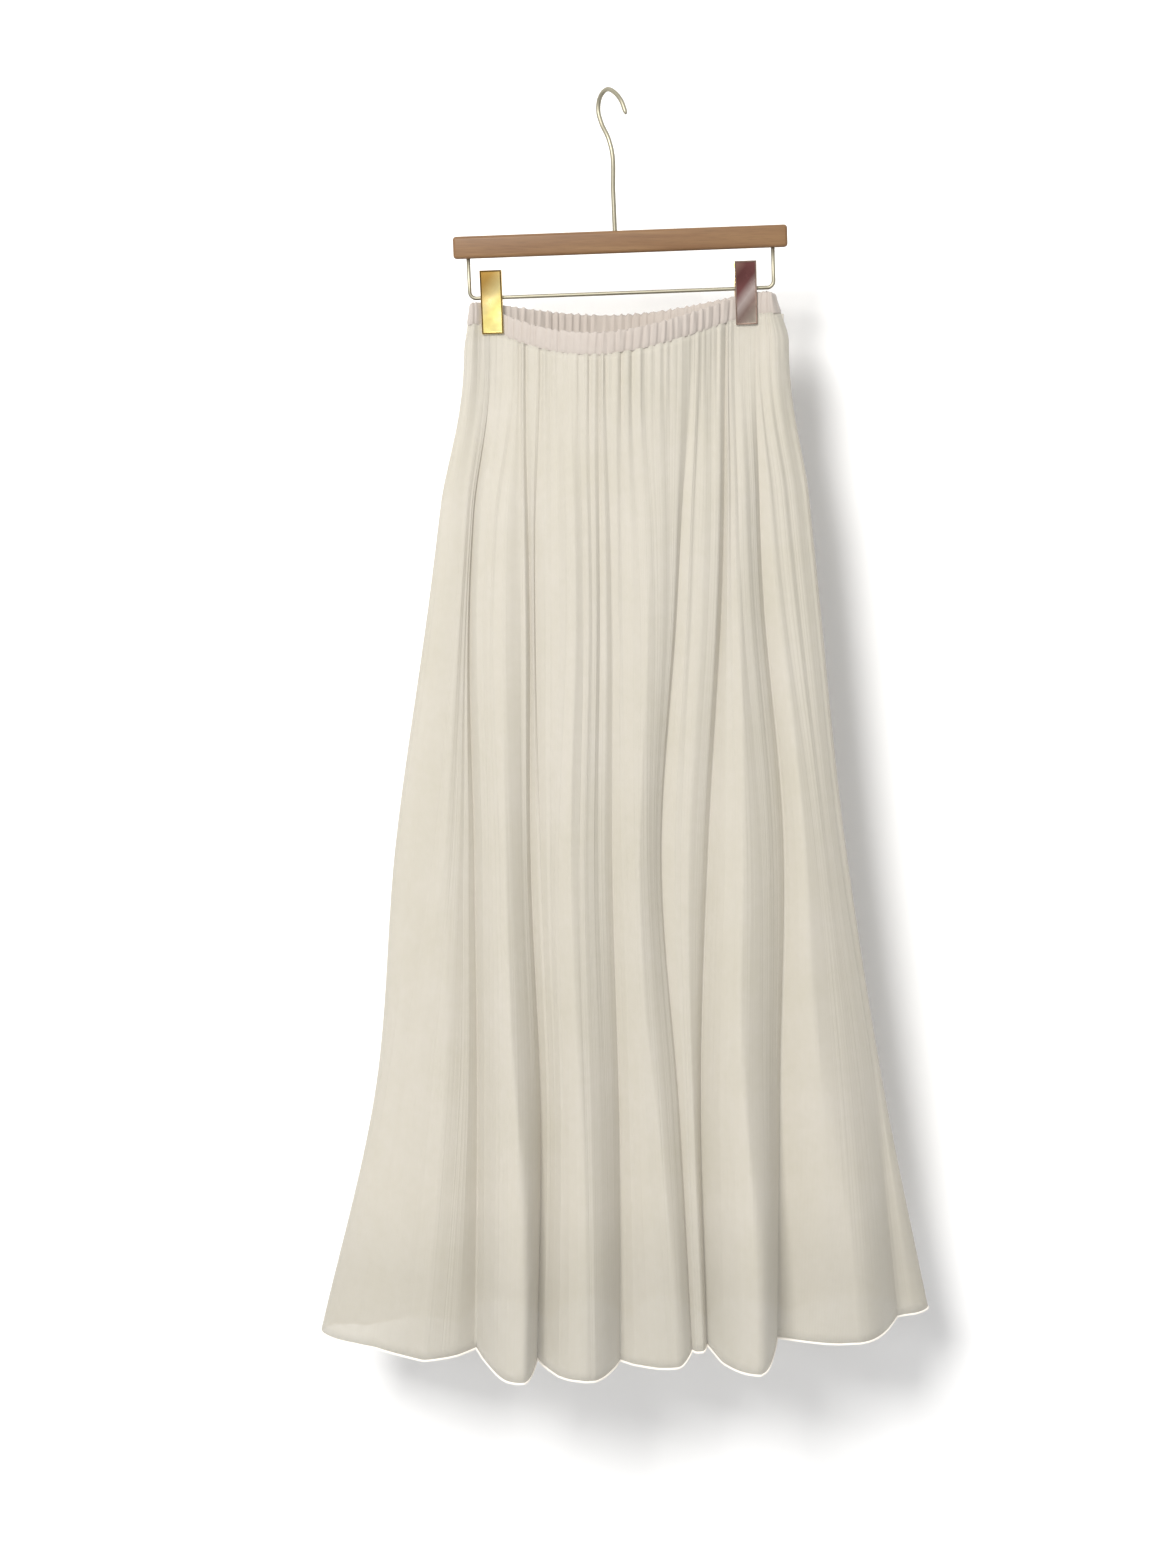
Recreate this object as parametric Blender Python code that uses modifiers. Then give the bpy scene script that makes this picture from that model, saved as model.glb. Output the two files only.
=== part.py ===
"""Long pleated skirt, hung by its waist from the two clips of a wooden hanger.

Metres, +Z up. The front of the skirt faces -Y and +X is to the right of someone who looks at it.
The origin is the top of the hook's inner side, where a rail or a peg carries the hanger.
"""

import math
from collections import namedtuple

import bmesh
import bpy
import numpy as np

MM = 0.001
GAP = 0.3 * MM  # air between pieces that touch
FRONT = -1
BACK = 1

# Hanger, in its own upright frame; the whole hanger leans by TILT, right end up
TILT = math.radians(2.1)
BAR_CENTRE_X = 7 * MM
BAR_LENGTH = 308 * MM
BAR_HEIGHT = 20.4 * MM
BAR_DEPTH = 12 * MM
BAR_TOP = -124.5 * MM
BAR_ROUNDING = 3.2 * MM
WIRE_SEAT = 9 * MM  # how deep a wire is let into the bar
CUTTER_PAST = 2 * MM  # how far a seat's cutter runs out of the bar
HOOK_WIRE = 2.1 * MM
FRAME_WIRE = 1.75 * MM
FRAME_WIDTH = 281 * MM
FRAME_BEND = 6 * MM
ROD_HEIGHT = -181 * MM
CLIP_PLACES = {"left": -113.5 * MM, "right": 121.5 * MM}  # the clips' middles along the rod
CLIP_WIDTH = 20 * MM
CLIP_TOP = -156 * MM
CLIP_FOOT = -214 * MM
JAW_REACH = 4.0 * MM  # from the middle plane to a jaw's gripping side
JAW_PLATE = 2.2 * MM
JAW_FLARE = 2.6 * MM
JAW_ROWS = 8
JAW_EDGE = 0.7 * MM
SLEEVE_WALL = 1.6 * MM
SLEEVE_LENGTH = 16 * MM
SLEEVE_RADIUS = FRAME_WIRE + GAP + SLEEVE_WALL

# The hook's wire from its foot in the bar over the crest to its tip: across, to the back and up, mm.
# Its bow is turned some 50 degrees on the stem, the tip towards the front.
HOOK_LINE = (
    (2.6, 0, -133.5),
    (2.2, 0, -90),
    (1.7, 0, -50),
    (-0.6, 2.2, -41),
    (-6.4, 8.4, -27),
    (-8.8, 11.4, -15.5),
    (-7.2, 9.6, -5),
    (-3, 4.2, 0.9),
    (0, 0, 2.1),
    (7.2, -8.6, -2.4),
    (12, -14.2, -9.5),
    (16, -18.8, -22),
)
HOOK_POINTS = 32

# Waist
WAIST_LEFT = -132.5 * MM
WAIST_RIGHT = 168.5 * MM
BAND_HEIGHT = 20 * MM
BAND_WALL = 2.4 * MM
BAND_GATHERS = 40
FRONT_SAG = 31 * MM
BACK_SAG = 16 * MM
SAG_LEAN = 0.8
SAG_ROUND = 1.15
FRONT_BOW = 34 * MM  # how far the front stands off the middle plane between the clips
BACK_BOW = 30 * MM
LOOP_LEFT = 6 * MM  # how far the waist opens beyond each clip
LOOP_RIGHT = 9 * MM
LOOP_LEAN = 0.7  # under 1, a loop is fullest near its outer end
PRESSED_AT = 30 * MM  # how far inside a clip's middle the cloth starts to lie flat,
PRESSED_RUN = 20 * MM  # and over what length
PRESSED_GATHERS = 0.85  # the share of the gathers that the jaws press out
PRESSED_PLEATS = 0.9
BAND_PINCH = 1.95 * MM  # from the middle plane to the middle of a wall, between the jaws
CLOTH_PINCH = 2.6 * MM
LINING_PINCH = 1.0 * MM

# The casing's rows. down: a share of its height. swell: off its mean line, mm. gather: the depth of
# its gathers each way, mm.
CasingRow = namedtuple("CasingRow", "down swell gather")
CASING_ROWS = (
    CasingRow(0, -0.2, 0.4),
    CasingRow(0.2, 0.3, 0.7),
    CasingRow(0.7, 0.3, 0.7),
    CasingRow(1, -0.2, 0.5),
)

# Pleated cloth
CLOTH_WALL = 1.4 * MM
HEM_ROLL = 2.4 * MM  # the rolled hem's thickness
HEM_ROLL_HEIGHT = 3 * MM
HEM_ROLL_START = 1.4  # where the cloth starts to thicken, in heights of the roll
PLEATS = 28  # in each panel
RIDGE_PLACE = 0.30  # where a pleat's ridge and valley lie, as shares of its width
VALLEY_PLACE = 0.82
PLEAT_RELIEF = (1.6, 3.3, 4.2, 4.6, 5.0)  # ridge above the mean, mm, at even steps from waist to hem
SKIRT_DROP = 982 * MM  # casing seam to hem, at the sides
MIDDLE_LIFT = 9 * MM  # how much shorter the middle hangs
PANEL_ROWS = (0, 0.012, 0.04, 0.08, 0.14, 0.23, 0.36, 0.48, 0.60, 0.72, 0.83, 0.93)
CLIP_HOLD = 0.012  # the share of the drop that the clips still hold flat
CLIP_EASE = 0.17  # and the share by which the folds have opened out
SEAM_FLAT_PLEATS = 1.2  # the pleats die out over this many of them at a side seam
CASING_SEAM = 0.5 * MM  # air under the waist casing
SEAM_RUN = 1.6  # how far a panel runs square to its side seam, in walls
RIGHT_SEAM_SWING = 32 * MM  # how far back the right side seam lies at the hem

# Lining
LINING_WALL = 1.2 * MM
LINING_COLUMNS = 34
LINING_ROWS = (0, 0.012, 0.05, 0.11, 0.2, 0.3, 0.42, 0.57, 0.72, 0.865)  # shares of the skirt's drop
LINING_BOW = (21.5, 14.5, 24)  # off the middle plane, mm, at waist, middle and skirt's hem
LINING_TAPER = 1.6
LINING_LOOP = 0.15  # how full its loops beside the clips are, as a share of the skirt's
LINING_ROOM = 3.6 * MM  # what it leaves to the pleats at the waist
LINING_SWING = 0.4  # how far its right seam swings, as a share of the skirt's
LINING_INSET = (5, 14, 32)  # inside the skirt's outline, mm, at the same heights
LINING_FOLDS = 4.5  # soft waves across each lining panel
LINING_FOLD_DEPTH = 2.5 * MM

# Large folds, from the left side seam to the right one, mm. A row is a valley and the lobe to the
# right of it. x: the valley at the waist, a quarter, half and three quarters down, and at the hem.
# in_: how far the valley stands off the middle plane, halfway down and at the hem. out: the same
# for the lobe's ridge. peak: where the ridge lies, as a share of the way to the next valley.
Fold = namedtuple("Fold", "name x in_mid in_hem peak out_mid out_hem")
LEFT_EDGE = (-135, -166, -202, -225, -282)
RIGHT_EDGE = (169.5, 198.5, 228, 270.5, 324)
FRONT_FOLDS = (
    Fold("left_seam", LEFT_EDGE, 0, 0, 0.68, 26, 58),
    Fold("sharp_line", (-110, -129, -126, -124, -127), 16, 34, 0.5, 46, 98),
    Fold("left_gap", (-77, -72, -72, -63, -67), 25, 38, 0.5, 52, 93),
    Fold("middle_gap", (-1, 5, 6, 13, 14), 31, 38, 0.5, 47, 63),
    Fold("slant", (76, 66, 52, 70, 84), 27, 45, 0.5, 36, 50),
    Fold("under_fold", (110, 108, 97, 91, 99), 23, 36, 0.5, 46, 106),
    Fold("right_line", (138, 146, 169, 168, 168), 16, 34, 0.45, 32, 50),
    Fold("tuck", (164, 191, 220, 261, 291), 6, -12, 0.5, 9, -16),
)
BACK_FOLDS = (
    Fold("left_seam", LEFT_EDGE, 0, 0, 0.60, 28, 56),
    Fold("outer_left", (-108, -120, -128, -138, -148), 16, 34, 0.5, 42, 90),
    Fold("inner_left", (-62, -62, -60, -58, -56), 26, 38, 0.5, 50, 86),
    Fold("middle", (-4, 6, 14, 20, 26), 30, 38, 0.5, 50, 94),
    Fold("inner_right", (56, 66, 78, 90, 102), 25, 36, 0.5, 42, 85),
    Fold("outer_right", (110, 126, 146, 166, 186), 16, 36, 0.5, 30, 64),
)
LOBE_SHOULDER = 0.35  # how near its valleys a lobe's shoulders lie
LOBE_SHOULDER_RISE = 0.66
NORMAL_EVENING = 3
SHARPEST_TURN = math.radians(70)  # a pleat dies out where the large folds turn this much at it
FOLD_LIMIT = math.radians(45)  # past these, large folds and pleats are blunted at a column,
PLEAT_LIMIT = math.radians(80)  # so that the wall has room
BLUNTING_ROUNDS = 12
BLUNTING_PULL = 0.3  # the share of the way that a blunted crease moves in a round
PLAN_POINTS = 40  # along each stretch of a plan curve

COLOURS = {
    "pleated_cloth": ((0.74, 0.69, 0.61, 1), 0.8, 0),
    "lining_cloth": ((0.80, 0.77, 0.71, 1), 0.7, 0),
    "waist_casing": ((0.76, 0.71, 0.63, 1), 0.8, 0),
    "bar_wood": ((0.41, 0.25, 0.15, 1), 0.5, 0),
    "hook_wire": ((0.62, 0.55, 0.42, 1), 0.3, 1),
    "clip_metal": ((0.83, 0.62, 0.27, 1), 0.15, 1),
}


def across_skirt(place):
    """Where a clip's middle is across the skirt, once the hanger leans."""
    return CLIP_PLACES[place] * math.cos(TILT) - ROD_HEIGHT * math.sin(TILT)


CLIP_LEFT = across_skirt("left")
CLIP_RIGHT = across_skirt("right")
CLIP_HALF = CLIP_WIDTH / 2


def ease(share):
    """0 to 1 with flat ends."""
    share = np.clip(share, 0, 1)
    return share * share * (3 - 2 * share)


def through(values, share):
    """A smooth curve through evenly spaced values, read at a share of its length."""
    values = np.asarray(values, float)
    last = len(values) - 1
    place = float(np.clip(share, 0, 1)) * last
    start = min(int(place), last - 1)
    s = place - start
    run = np.concatenate([[2 * values[0] - values[1]], values, [2 * values[-1] - values[-2]]])
    a, b, c, d = run[start : start + 4]
    return b + 0.5 * s * (c - a + s * (2 * a - 5 * b + 4 * c - d + s * (3 * (b - c) + d - a)))


def smooth_line(points, first=None, last=None, per_gap=12):
    """Points close together on a smooth curve through the given ones, with its end directions."""
    points = np.asarray(points, float)
    steps = np.diff(points, axis=0)
    gaps = np.linalg.norm(steps, axis=1)[:, None]
    slopes = steps / gaps
    inner = (slopes[:-1] * gaps[1:] + slopes[1:] * gaps[:-1]) / (gaps[:-1] + gaps[1:])
    start = slopes[0] if first is None else np.asarray(first, float)
    end = slopes[-1] if last is None else np.asarray(last, float)
    tangents = np.vstack([start, inner, end])
    s = np.linspace(0, 1, per_gap, endpoint=False)[:, None]
    line = [
        (2 * s**3 - 3 * s**2 + 1) * points[i]
        + (s**3 - 2 * s**2 + s) * gaps[i] * tangents[i]
        + (3 * s**2 - 2 * s**3) * points[i + 1]
        + (s**3 - s**2) * gaps[i] * tangents[i + 1]
        for i in range(len(steps))
    ]
    return np.vstack(line + [points[-1:]])


def spaced(line, shares):
    """Points at the given shares of a line's length."""
    steps = np.linalg.norm(np.diff(line, axis=0), axis=1)
    run = np.concatenate([[0], np.cumsum(steps)])
    places = np.asarray(shares) * run[-1]
    return np.stack([np.interp(places, run, column) for column in line.T], axis=1)


def outward(points, side):
    """Unit normals of a plan curve that runs from left to right, away from the middle plane.

    They are evened out along the curve, so that pleats don't cross in a tight fold.
    """
    along = np.gradient(points, axis=0)
    normals = side * np.stack([-along[:, 1], along[:, 0]], axis=1)
    for _ in range(NORMAL_EVENING):
        normals /= np.linalg.norm(normals, axis=1)[:, None]
        normals[1:-1] = normals[:-2] + 2 * normals[1:-1] + normals[2:]
    return normals / np.linalg.norm(normals, axis=1)[:, None]


def turning(points):
    """How sharply a plan curve turns at each of its points, in radians."""
    along = np.diff(points, axis=0)
    heading = np.unwrap(np.arctan2(along[:, 1], along[:, 0]))
    return np.abs(np.concatenate([[0], np.diff(heading), [0]]))


def blunted(points, limit):
    """The plan curve with the creases past a limit drawn in towards their neighbours."""
    points = points.copy()
    for _ in range(BLUNTING_ROUNDS):
        pull = BLUNTING_PULL * np.clip(turning(points) / limit - 1, 0, 1)[1:-1, None]
        points[1:-1] += pull * ((points[:-2] + points[2:]) / 2 - points[1:-1])
    return points


def band_top(x, side):
    """Height of the waist's top edge: just under the rod at the clips, sagging between them."""
    sag = FRONT_SAG if side == FRONT else BACK_SAG
    lean = SAG_LEAN if side == FRONT else 1
    left = CLIP_LEFT - CLIP_HALF
    share = np.clip((x - left) / (CLIP_RIGHT + CLIP_HALF - left), 0, 1)
    straight = x * math.tan(TILT) + (ROD_HEIGHT - SLEEVE_RADIUS - GAP) / math.cos(TILT)
    return straight - sag * np.sin(np.pi * share**lean) ** SAG_ROUND


def near_clips(x):
    """1 between the jaws and beyond them, 0 well inside the waist."""
    centre = (CLIP_LEFT + CLIP_RIGHT) / 2
    reach = (CLIP_RIGHT - CLIP_LEFT) / 2
    return ease((np.abs(x - centre) - reach + PRESSED_AT) / PRESSED_RUN)


def waist_plan(side, pinch, loop_share=1.0, inset=0.0, room=0.0):
    """The waist from above, left to right: a loop, a clip's grip, the bow, a grip and a loop.

    room is what a lining leaves to the pleats outside it, where no clip presses them flat.
    """
    bow = FRONT_BOW if side == FRONT else BACK_BOW
    share = np.linspace(0, 1, PLAN_POINTS)
    left, right = WAIST_LEFT + inset, WAIST_RIGHT - inset
    left_grip = (CLIP_LEFT - CLIP_HALF, CLIP_LEFT + CLIP_HALF)
    right_grip = (CLIP_RIGHT - CLIP_HALF, CLIP_RIGHT + CLIP_HALF)
    opening = np.sin(np.pi * share**LOOP_LEAN)
    rise = pinch * ease(2 * share)
    left_y = rise + loop_share * LOOP_LEFT * opening
    right_y = rise + loop_share * LOOP_RIGHT * opening
    middle_y = pinch + bow * np.sin(np.pi * share) ** SAG_ROUND
    x = np.concatenate(
        [
            left + (left_grip[0] - left) * share,
            left_grip[1] + (right_grip[0] - left_grip[1]) * share,
            (right + (right_grip[1] - right) * share)[::-1],
        ]
    )
    y = np.concatenate([left_y, middle_y, right_y[::-1]]) - room * (1 - near_clips(x))
    return np.stack([x, side * y], axis=1)


def right_seam_swing(share):
    return RIGHT_SEAM_SWING * ease(2 * share - 1)


def fold_plan(side, folds, share):
    """The pleated cloth's mean line from above at a share of the way from waist to hem."""
    edges = [through(fold.x, share) for fold in folds] + [through(RIGHT_EDGE, share)]
    centre = (LEFT_EDGE[0] + RIGHT_EDGE[0]) / 2
    half = (RIGHT_EDGE[0] - LEFT_EDGE[0]) / 2
    bow = (FRONT_BOW if side == FRONT else BACK_BOW) / MM

    def off_plane(x, middle, hem):
        at_waist = bow * max(0.0, 1 - ((x - centre) / half) ** 2)
        return through((at_waist, middle, hem), share)

    seam_y = right_seam_swing(share) / MM
    points = []
    depths = [0.0] + [off_plane(x, f.in_mid, f.in_hem) for f, x in zip(folds[1:], edges[1:])]
    depths.append(side * seam_y)
    for index, fold in enumerate(folds):
        x, following = edges[index : index + 2]
        valley, after = depths[index : index + 2]
        ridge_x = x + (following - x) * fold.peak
        ridge = off_plane(ridge_x, fold.out_mid, fold.out_hem)
        near = x + (ridge_x - x) * LOBE_SHOULDER
        far = following - (following - ridge_x) * LOBE_SHOULDER
        points.append((x, valley))
        points.append((near, valley + (ridge - valley) * LOBE_SHOULDER_RISE))
        points.append((ridge_x, ridge))
        points.append((far, after + (ridge - after) * LOBE_SHOULDER_RISE))
    points.append((edges[-1], depths[-1]))
    points = np.array(points) * (MM, side * MM)
    return smooth_line(points, first=(0, side), last=(0, -side))


def heights(held, side, shares, share):
    """Heights of a row's points, below where each column leaves the casing."""
    seam = band_top(held[:, 0], side) - BAND_HEIGHT - CASING_SEAM
    drop = SKIRT_DROP - MIDDLE_LIFT * np.sin(np.pi * shares)
    return seam - share * drop


def hold(share):
    """How much of the clips' hold is left at a share of the way down: 1 in the jaws, then less."""
    return 1 - ease((share - CLIP_HOLD) / (CLIP_EASE - CLIP_HOLD))


def square_edges(row, side, wall):
    """Ends a row square to its side seams: half a gap off each, with a short straight run."""
    edge = (0, side * GAP / 2, 0)
    turn = (0, side * SEAM_RUN * wall, 0)
    return np.vstack([row[0] + edge, row[0] + turn, row[1:-1], row[-1] + turn, row[-1] + edge])


def pleat_columns():
    """Shares of a panel's width and, for each, 1 on a ridge, -1 in a valley and 0 at a seam."""
    shares = [0.0]
    signs = [0]
    for pleat in range(PLEATS):
        shares += [(pleat + RIDGE_PLACE) / PLEATS, (pleat + VALLEY_PLACE) / PLEATS]
        signs += [1, -1]
    return np.array(shares + [1.0]), np.array(signs + [0])


def skirt_row(side, folds, share):
    """One row of a pleated panel's points, from the left seam to the right one."""
    shares, signs = pleat_columns()
    held = spaced(waist_plan(side, CLOTH_PINCH), shares)
    free = spaced(fold_plan(side, folds, share), shares)
    kept = hold(share)
    plan = blunted(kept * held + (1 - kept) * free, FOLD_LIMIT)
    pressed = PRESSED_PLEATS * kept * near_clips(held[:, 0])
    relief = through(PLEAT_RELIEF, share) * MM * (1 - pressed)
    relief *= ease(np.minimum(shares, 1 - shares) * PLEATS / SEAM_FLAT_PLEATS)
    relief *= np.clip(1 - turning(plan) / SHARPEST_TURN, 0, 1)
    plan = blunted(plan + outward(plan, side) * (relief * signs)[:, None], PLEAT_LIMIT)
    row = np.column_stack([plan, heights(held, side, shares, share)])
    return square_edges(row, side, CLOTH_WALL)


def lining_row(side, share):
    """One row of a lining panel's points, inside the pleated one."""
    shares = np.linspace(0, 1, LINING_COLUMNS + 1)
    waist_inset = LINING_INSET[0] * MM
    held = spaced(waist_plan(side, LINING_PINCH, LINING_LOOP, waist_inset, LINING_ROOM), shares)
    inset = through(LINING_INSET, share)
    left = (through(LEFT_EDGE, share) + inset) * MM
    right = (through(RIGHT_EDGE, share) - inset) * MM
    across = np.linspace(-1, 1, 2 * PLAN_POINTS)
    fading = 1 - across**2
    depth = through(LINING_BOW, share) * MM * fading**LINING_TAPER
    wave = LINING_FOLD_DEPTH * ease(2 * share) * fading * np.sin(np.pi * LINING_FOLDS * (across + 1))
    swing = LINING_SWING * right_seam_swing(share) * ease(across)
    x = (left + right) / 2 + (right - left) / 2 * across
    free = spaced(np.stack([x, side * (depth + wave) + swing], axis=1), shares)
    kept = hold(share)
    plan = kept * held + (1 - kept) * free
    row = np.column_stack([plan, heights(held, side, shares, share)])
    return square_edges(row, side, LINING_WALL)


def casing_line(side, row):
    """The points of one row of the waist casing, from the left seam to the right one."""
    shares = np.linspace(0, 1, 2 * BAND_GATHERS + 1)
    plan = spaced(waist_plan(side, BAND_PINCH), shares)
    wave = np.where(np.arange(len(shares)) % 2, 1.0, -1.0)
    wave[[0, -1]] = 0
    free = (1 - PRESSED_GATHERS * near_clips(plan[:, 0])) * MM
    plan += outward(plan, side) * ((row.swell + row.gather * wave) * free)[:, None]
    points = np.column_stack([plan, band_top(plan[:, 0], side) - row.down * BAND_HEIGHT])
    return square_edges(points, side, BAND_WALL)


def new_collection(name):
    collection = bpy.data.collections.new(name)
    bpy.context.scene.collection.children.link(collection)
    return collection


def new_material(name):
    colour, roughness, metallic = COLOURS[name]
    material = bpy.data.materials.new(name)
    material.use_nodes = True
    shader = material.node_tree.nodes["Principled BSDF"]
    shader.inputs["Base Color"].default_value = colour
    shader.inputs["Roughness"].default_value = roughness
    shader.inputs["Metallic"].default_value = metallic
    material.diffuse_color = colour
    return material


def new_object(name, data, collection, material=None, parent=None):
    obj = bpy.data.objects.new(name, data)
    collection.objects.link(obj)
    if material:
        data.materials.append(material)
    obj.parent = parent
    return obj


def sheet_of(name, rows, wall, collection, material, thick_rows=0, thick_wall=None):
    """A wall through rows of points: a grid whose points are moved onto them, made solid.

    Its squares are split first, so that both sides of the wall bend along the same lines.
    """
    rows = np.asarray(rows)
    last_row, last_column = rows.shape[0] - 1, rows.shape[1] - 1
    mesh = bpy.data.meshes.new(name)
    bm = bmesh.new()
    bmesh.ops.create_grid(bm, x_segments=last_column, y_segments=last_row, size=1)
    thick = []
    for vert in bm.verts:
        column = round((vert.co.x + 1) / 2 * last_column)
        row = round((1 - vert.co.y) / 2 * last_row)
        vert.co = rows[row, column]
        if row > last_row - thick_rows:
            thick.append(vert.index)
    bmesh.ops.triangulate(bm, faces=bm.faces)
    bm.to_mesh(mesh)
    bm.free()
    obj = new_object(name, mesh, collection, material)
    solid = obj.modifiers.new("wall", "SOLIDIFY")
    solid.offset = 0
    solid.thickness = wall
    if thick:
        group = obj.vertex_groups.new(name="rolled_hem")
        group.add(thick, 1.0, "REPLACE")
        solid.thickness = thick_wall
        solid.vertex_group = group.name
        solid.thickness_vertex_group = wall / thick_wall
    return obj


def make_skirt(collection, materials):
    """The two pleated panels, their hems rolled, and what shows of the waist and the lining."""
    roll = HEM_ROLL_HEIGHT / SKIRT_DROP
    rows = PANEL_ROWS + (1 - HEM_ROLL_START * roll, 1 - roll, 1)
    for side, place, folds in ((FRONT, "front", FRONT_FOLDS), (BACK, "back", BACK_FOLDS)):
        sheet_of(
            f"skirt_{place}",
            [skirt_row(side, folds, share) for share in rows],
            CLOTH_WALL,
            collection,
            materials["pleated_cloth"],
            thick_rows=2,
            thick_wall=HEM_ROLL,
        )
        sheet_of(
            f"waistband_{place}",
            [casing_line(side, row) for row in CASING_ROWS],
            BAND_WALL,
            collection,
            materials["waist_casing"],
        )
        sheet_of(
            f"lining_{place}",
            [lining_row(side, share) for share in LINING_ROWS],
            LINING_WALL,
            collection,
            materials["lining_cloth"],
        )


def wire(name, points, radius, collection, material, parent):
    """A round wire with closed ends along the given points."""
    curve = bpy.data.curves.new(name, "CURVE")
    curve.dimensions = "3D"
    curve.bevel_depth = radius
    curve.bevel_resolution = 2
    curve.use_fill_caps = True
    spline = curve.splines.new("POLY")
    spline.points.add(len(points) - 1)
    for point, place in zip(spline.points, points):
        point.co = (*place, 1)
    return new_object(name, curve, collection, material, parent)


def hook_points():
    """Even steps along the hook's wire, from its foot in the bar to its tip."""
    return spaced(smooth_line(HOOK_LINE, per_gap=8), np.linspace(0, 1, HOOK_POINTS)) * MM


def frame_points():
    """The wire under the bar: down, round a bend, along the rod, round a bend and up."""
    top = BAR_TOP - BAR_HEIGHT + WIRE_SEAT
    points = []
    for end in (-1, 1):
        post = BAR_CENTRE_X + end * FRAME_WIDTH / 2
        corner = [
            (
                post - end * FRAME_BEND * (1 - math.cos(angle)),
                0,
                ROD_HEIGHT + FRAME_BEND * (1 - math.sin(angle)),
            )
            for angle in np.linspace(0, math.pi / 2, 6)
        ]
        leg = [(post, 0, top)] + corner
        points += leg if end < 0 else leg[::-1]
    return points


def drill(bar, name, x, low, high, radius, cutters):
    """A round seat for a wire, cut into the bar."""
    middle = (x, 0, (low + high) / 2)
    bpy.ops.mesh.primitive_cylinder_add(vertices=16, radius=radius, depth=high - low, location=middle)
    cutter = bpy.context.object
    cutter.name = name
    for collection in list(cutter.users_collection):
        collection.objects.unlink(cutter)
    cutters.objects.link(cutter)
    cutter.parent = bar.parent
    cutter.hide_render = True
    cutter.display_type = "WIRE"
    cut = bar.modifiers.new(name, "BOOLEAN")
    cut.operation = "DIFFERENCE"
    cut.object = cutter


def make_bar(collection, cutters, material, parent, stem_x):
    bpy.ops.mesh.primitive_cube_add(size=1)
    bar = bpy.context.object
    bar.name = "hanger_bar"
    for vert in bar.data.vertices:
        vert.co.x *= BAR_LENGTH
        vert.co.y *= BAR_DEPTH
        vert.co.z *= BAR_HEIGHT
    for holder in list(bar.users_collection):
        holder.objects.unlink(bar)
    collection.objects.link(bar)
    bar.data.materials.append(material)
    bar.parent = parent
    bar.location = (BAR_CENTRE_X, 0, BAR_TOP - BAR_HEIGHT / 2)
    bevel = bar.modifiers.new("rounding", "BEVEL")
    bevel.width = BAR_ROUNDING
    bevel.segments = 3
    foot = BAR_TOP - WIRE_SEAT - GAP
    drill(bar, "stem_seat", stem_x, foot, BAR_TOP + CUTTER_PAST, HOOK_WIRE + GAP, cutters)
    underside = BAR_TOP - BAR_HEIGHT
    seat_top = underside + WIRE_SEAT + GAP
    for end, place in ((-1, "left"), (1, "right")):
        x = BAR_CENTRE_X + end * FRAME_WIDTH / 2
        drill(bar, f"{place}_seat", x, underside - CUTTER_PAST, seat_top, FRAME_WIRE + GAP, cutters)


def make_jaw(name, side, collection, material, parent, x):
    """One plate of a clip: straight where it grips, and leaning out above the rod."""
    bm = bmesh.new()
    bmesh.ops.create_grid(bm, x_segments=1, y_segments=JAW_ROWS, size=1)
    for vert in bm.verts:
        height = CLIP_FOOT + (CLIP_TOP - CLIP_FOOT) * (vert.co.y + 1) / 2
        flare = JAW_FLARE * ease((height - ROD_HEIGHT) / (CLIP_TOP - ROD_HEIGHT))
        across = vert.co.x * CLIP_WIDTH / 2
        vert.co = (across, side * (JAW_REACH + JAW_PLATE / 2 + flare), height)
    mesh = bpy.data.meshes.new(name)
    bm.to_mesh(mesh)
    bm.free()
    jaw = new_object(name, mesh, collection, material, parent)
    jaw.location.x = x
    solid = jaw.modifiers.new("plate", "SOLIDIFY")
    solid.thickness = JAW_PLATE
    solid.offset = 0
    bevel = jaw.modifiers.new("edges", "BEVEL")
    bevel.width = JAW_EDGE
    bevel.segments = 2


def make_sleeve(name, collection, material, parent, x):
    """The short tube that turns on the rod between a clip's jaws."""
    inner = FRAME_WIRE + GAP
    mesh = bpy.data.meshes.new(name)
    bm = bmesh.new()
    half = SLEEVE_LENGTH / 2
    corners = [(-half, inner), (half, inner), (half, SLEEVE_RADIUS), (-half, SLEEVE_RADIUS)]
    loop = [bm.verts.new((along, 0, out)) for along, out in corners]
    for start, end in zip(loop, loop[1:] + loop[:1]):
        bm.edges.new((start, end))
    bm.to_mesh(mesh)
    bm.free()
    sleeve = new_object(name, mesh, collection, material, parent)
    sleeve.location = (x, 0, ROD_HEIGHT)
    turn = sleeve.modifiers.new("turned", "SCREW")
    turn.axis = "X"
    turn.steps = turn.render_steps = 16
    turn.use_merge_vertices = True
    turn.merge_threshold = 0.00001
    turn.use_normal_flip = False


def make_hanger(collection, cutters, materials):
    """Bar, hook, wire frame and clips, under one empty that leans the whole hanger."""
    lean = bpy.data.objects.new("hanger_lean", None)
    collection.objects.link(lean)
    lean.rotation_euler = (0, -TILT, 0)
    stem = hook_points()
    wire("hanger_hook", stem, HOOK_WIRE, collection, materials["hook_wire"], lean)
    wire("hanger_frame", frame_points(), FRAME_WIRE, collection, materials["hook_wire"], lean)
    make_bar(collection, cutters, materials["bar_wood"], lean, stem[0, 0])
    for place, x in CLIP_PLACES.items():
        for side, jaw in ((FRONT, "front"), (BACK, "back")):
            make_jaw(f"clip_{place}_{jaw}_jaw", side, collection, materials["clip_metal"], lean, x)
        make_sleeve(f"clip_{place}_sleeve", collection, materials["clip_metal"], lean, x)


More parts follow.
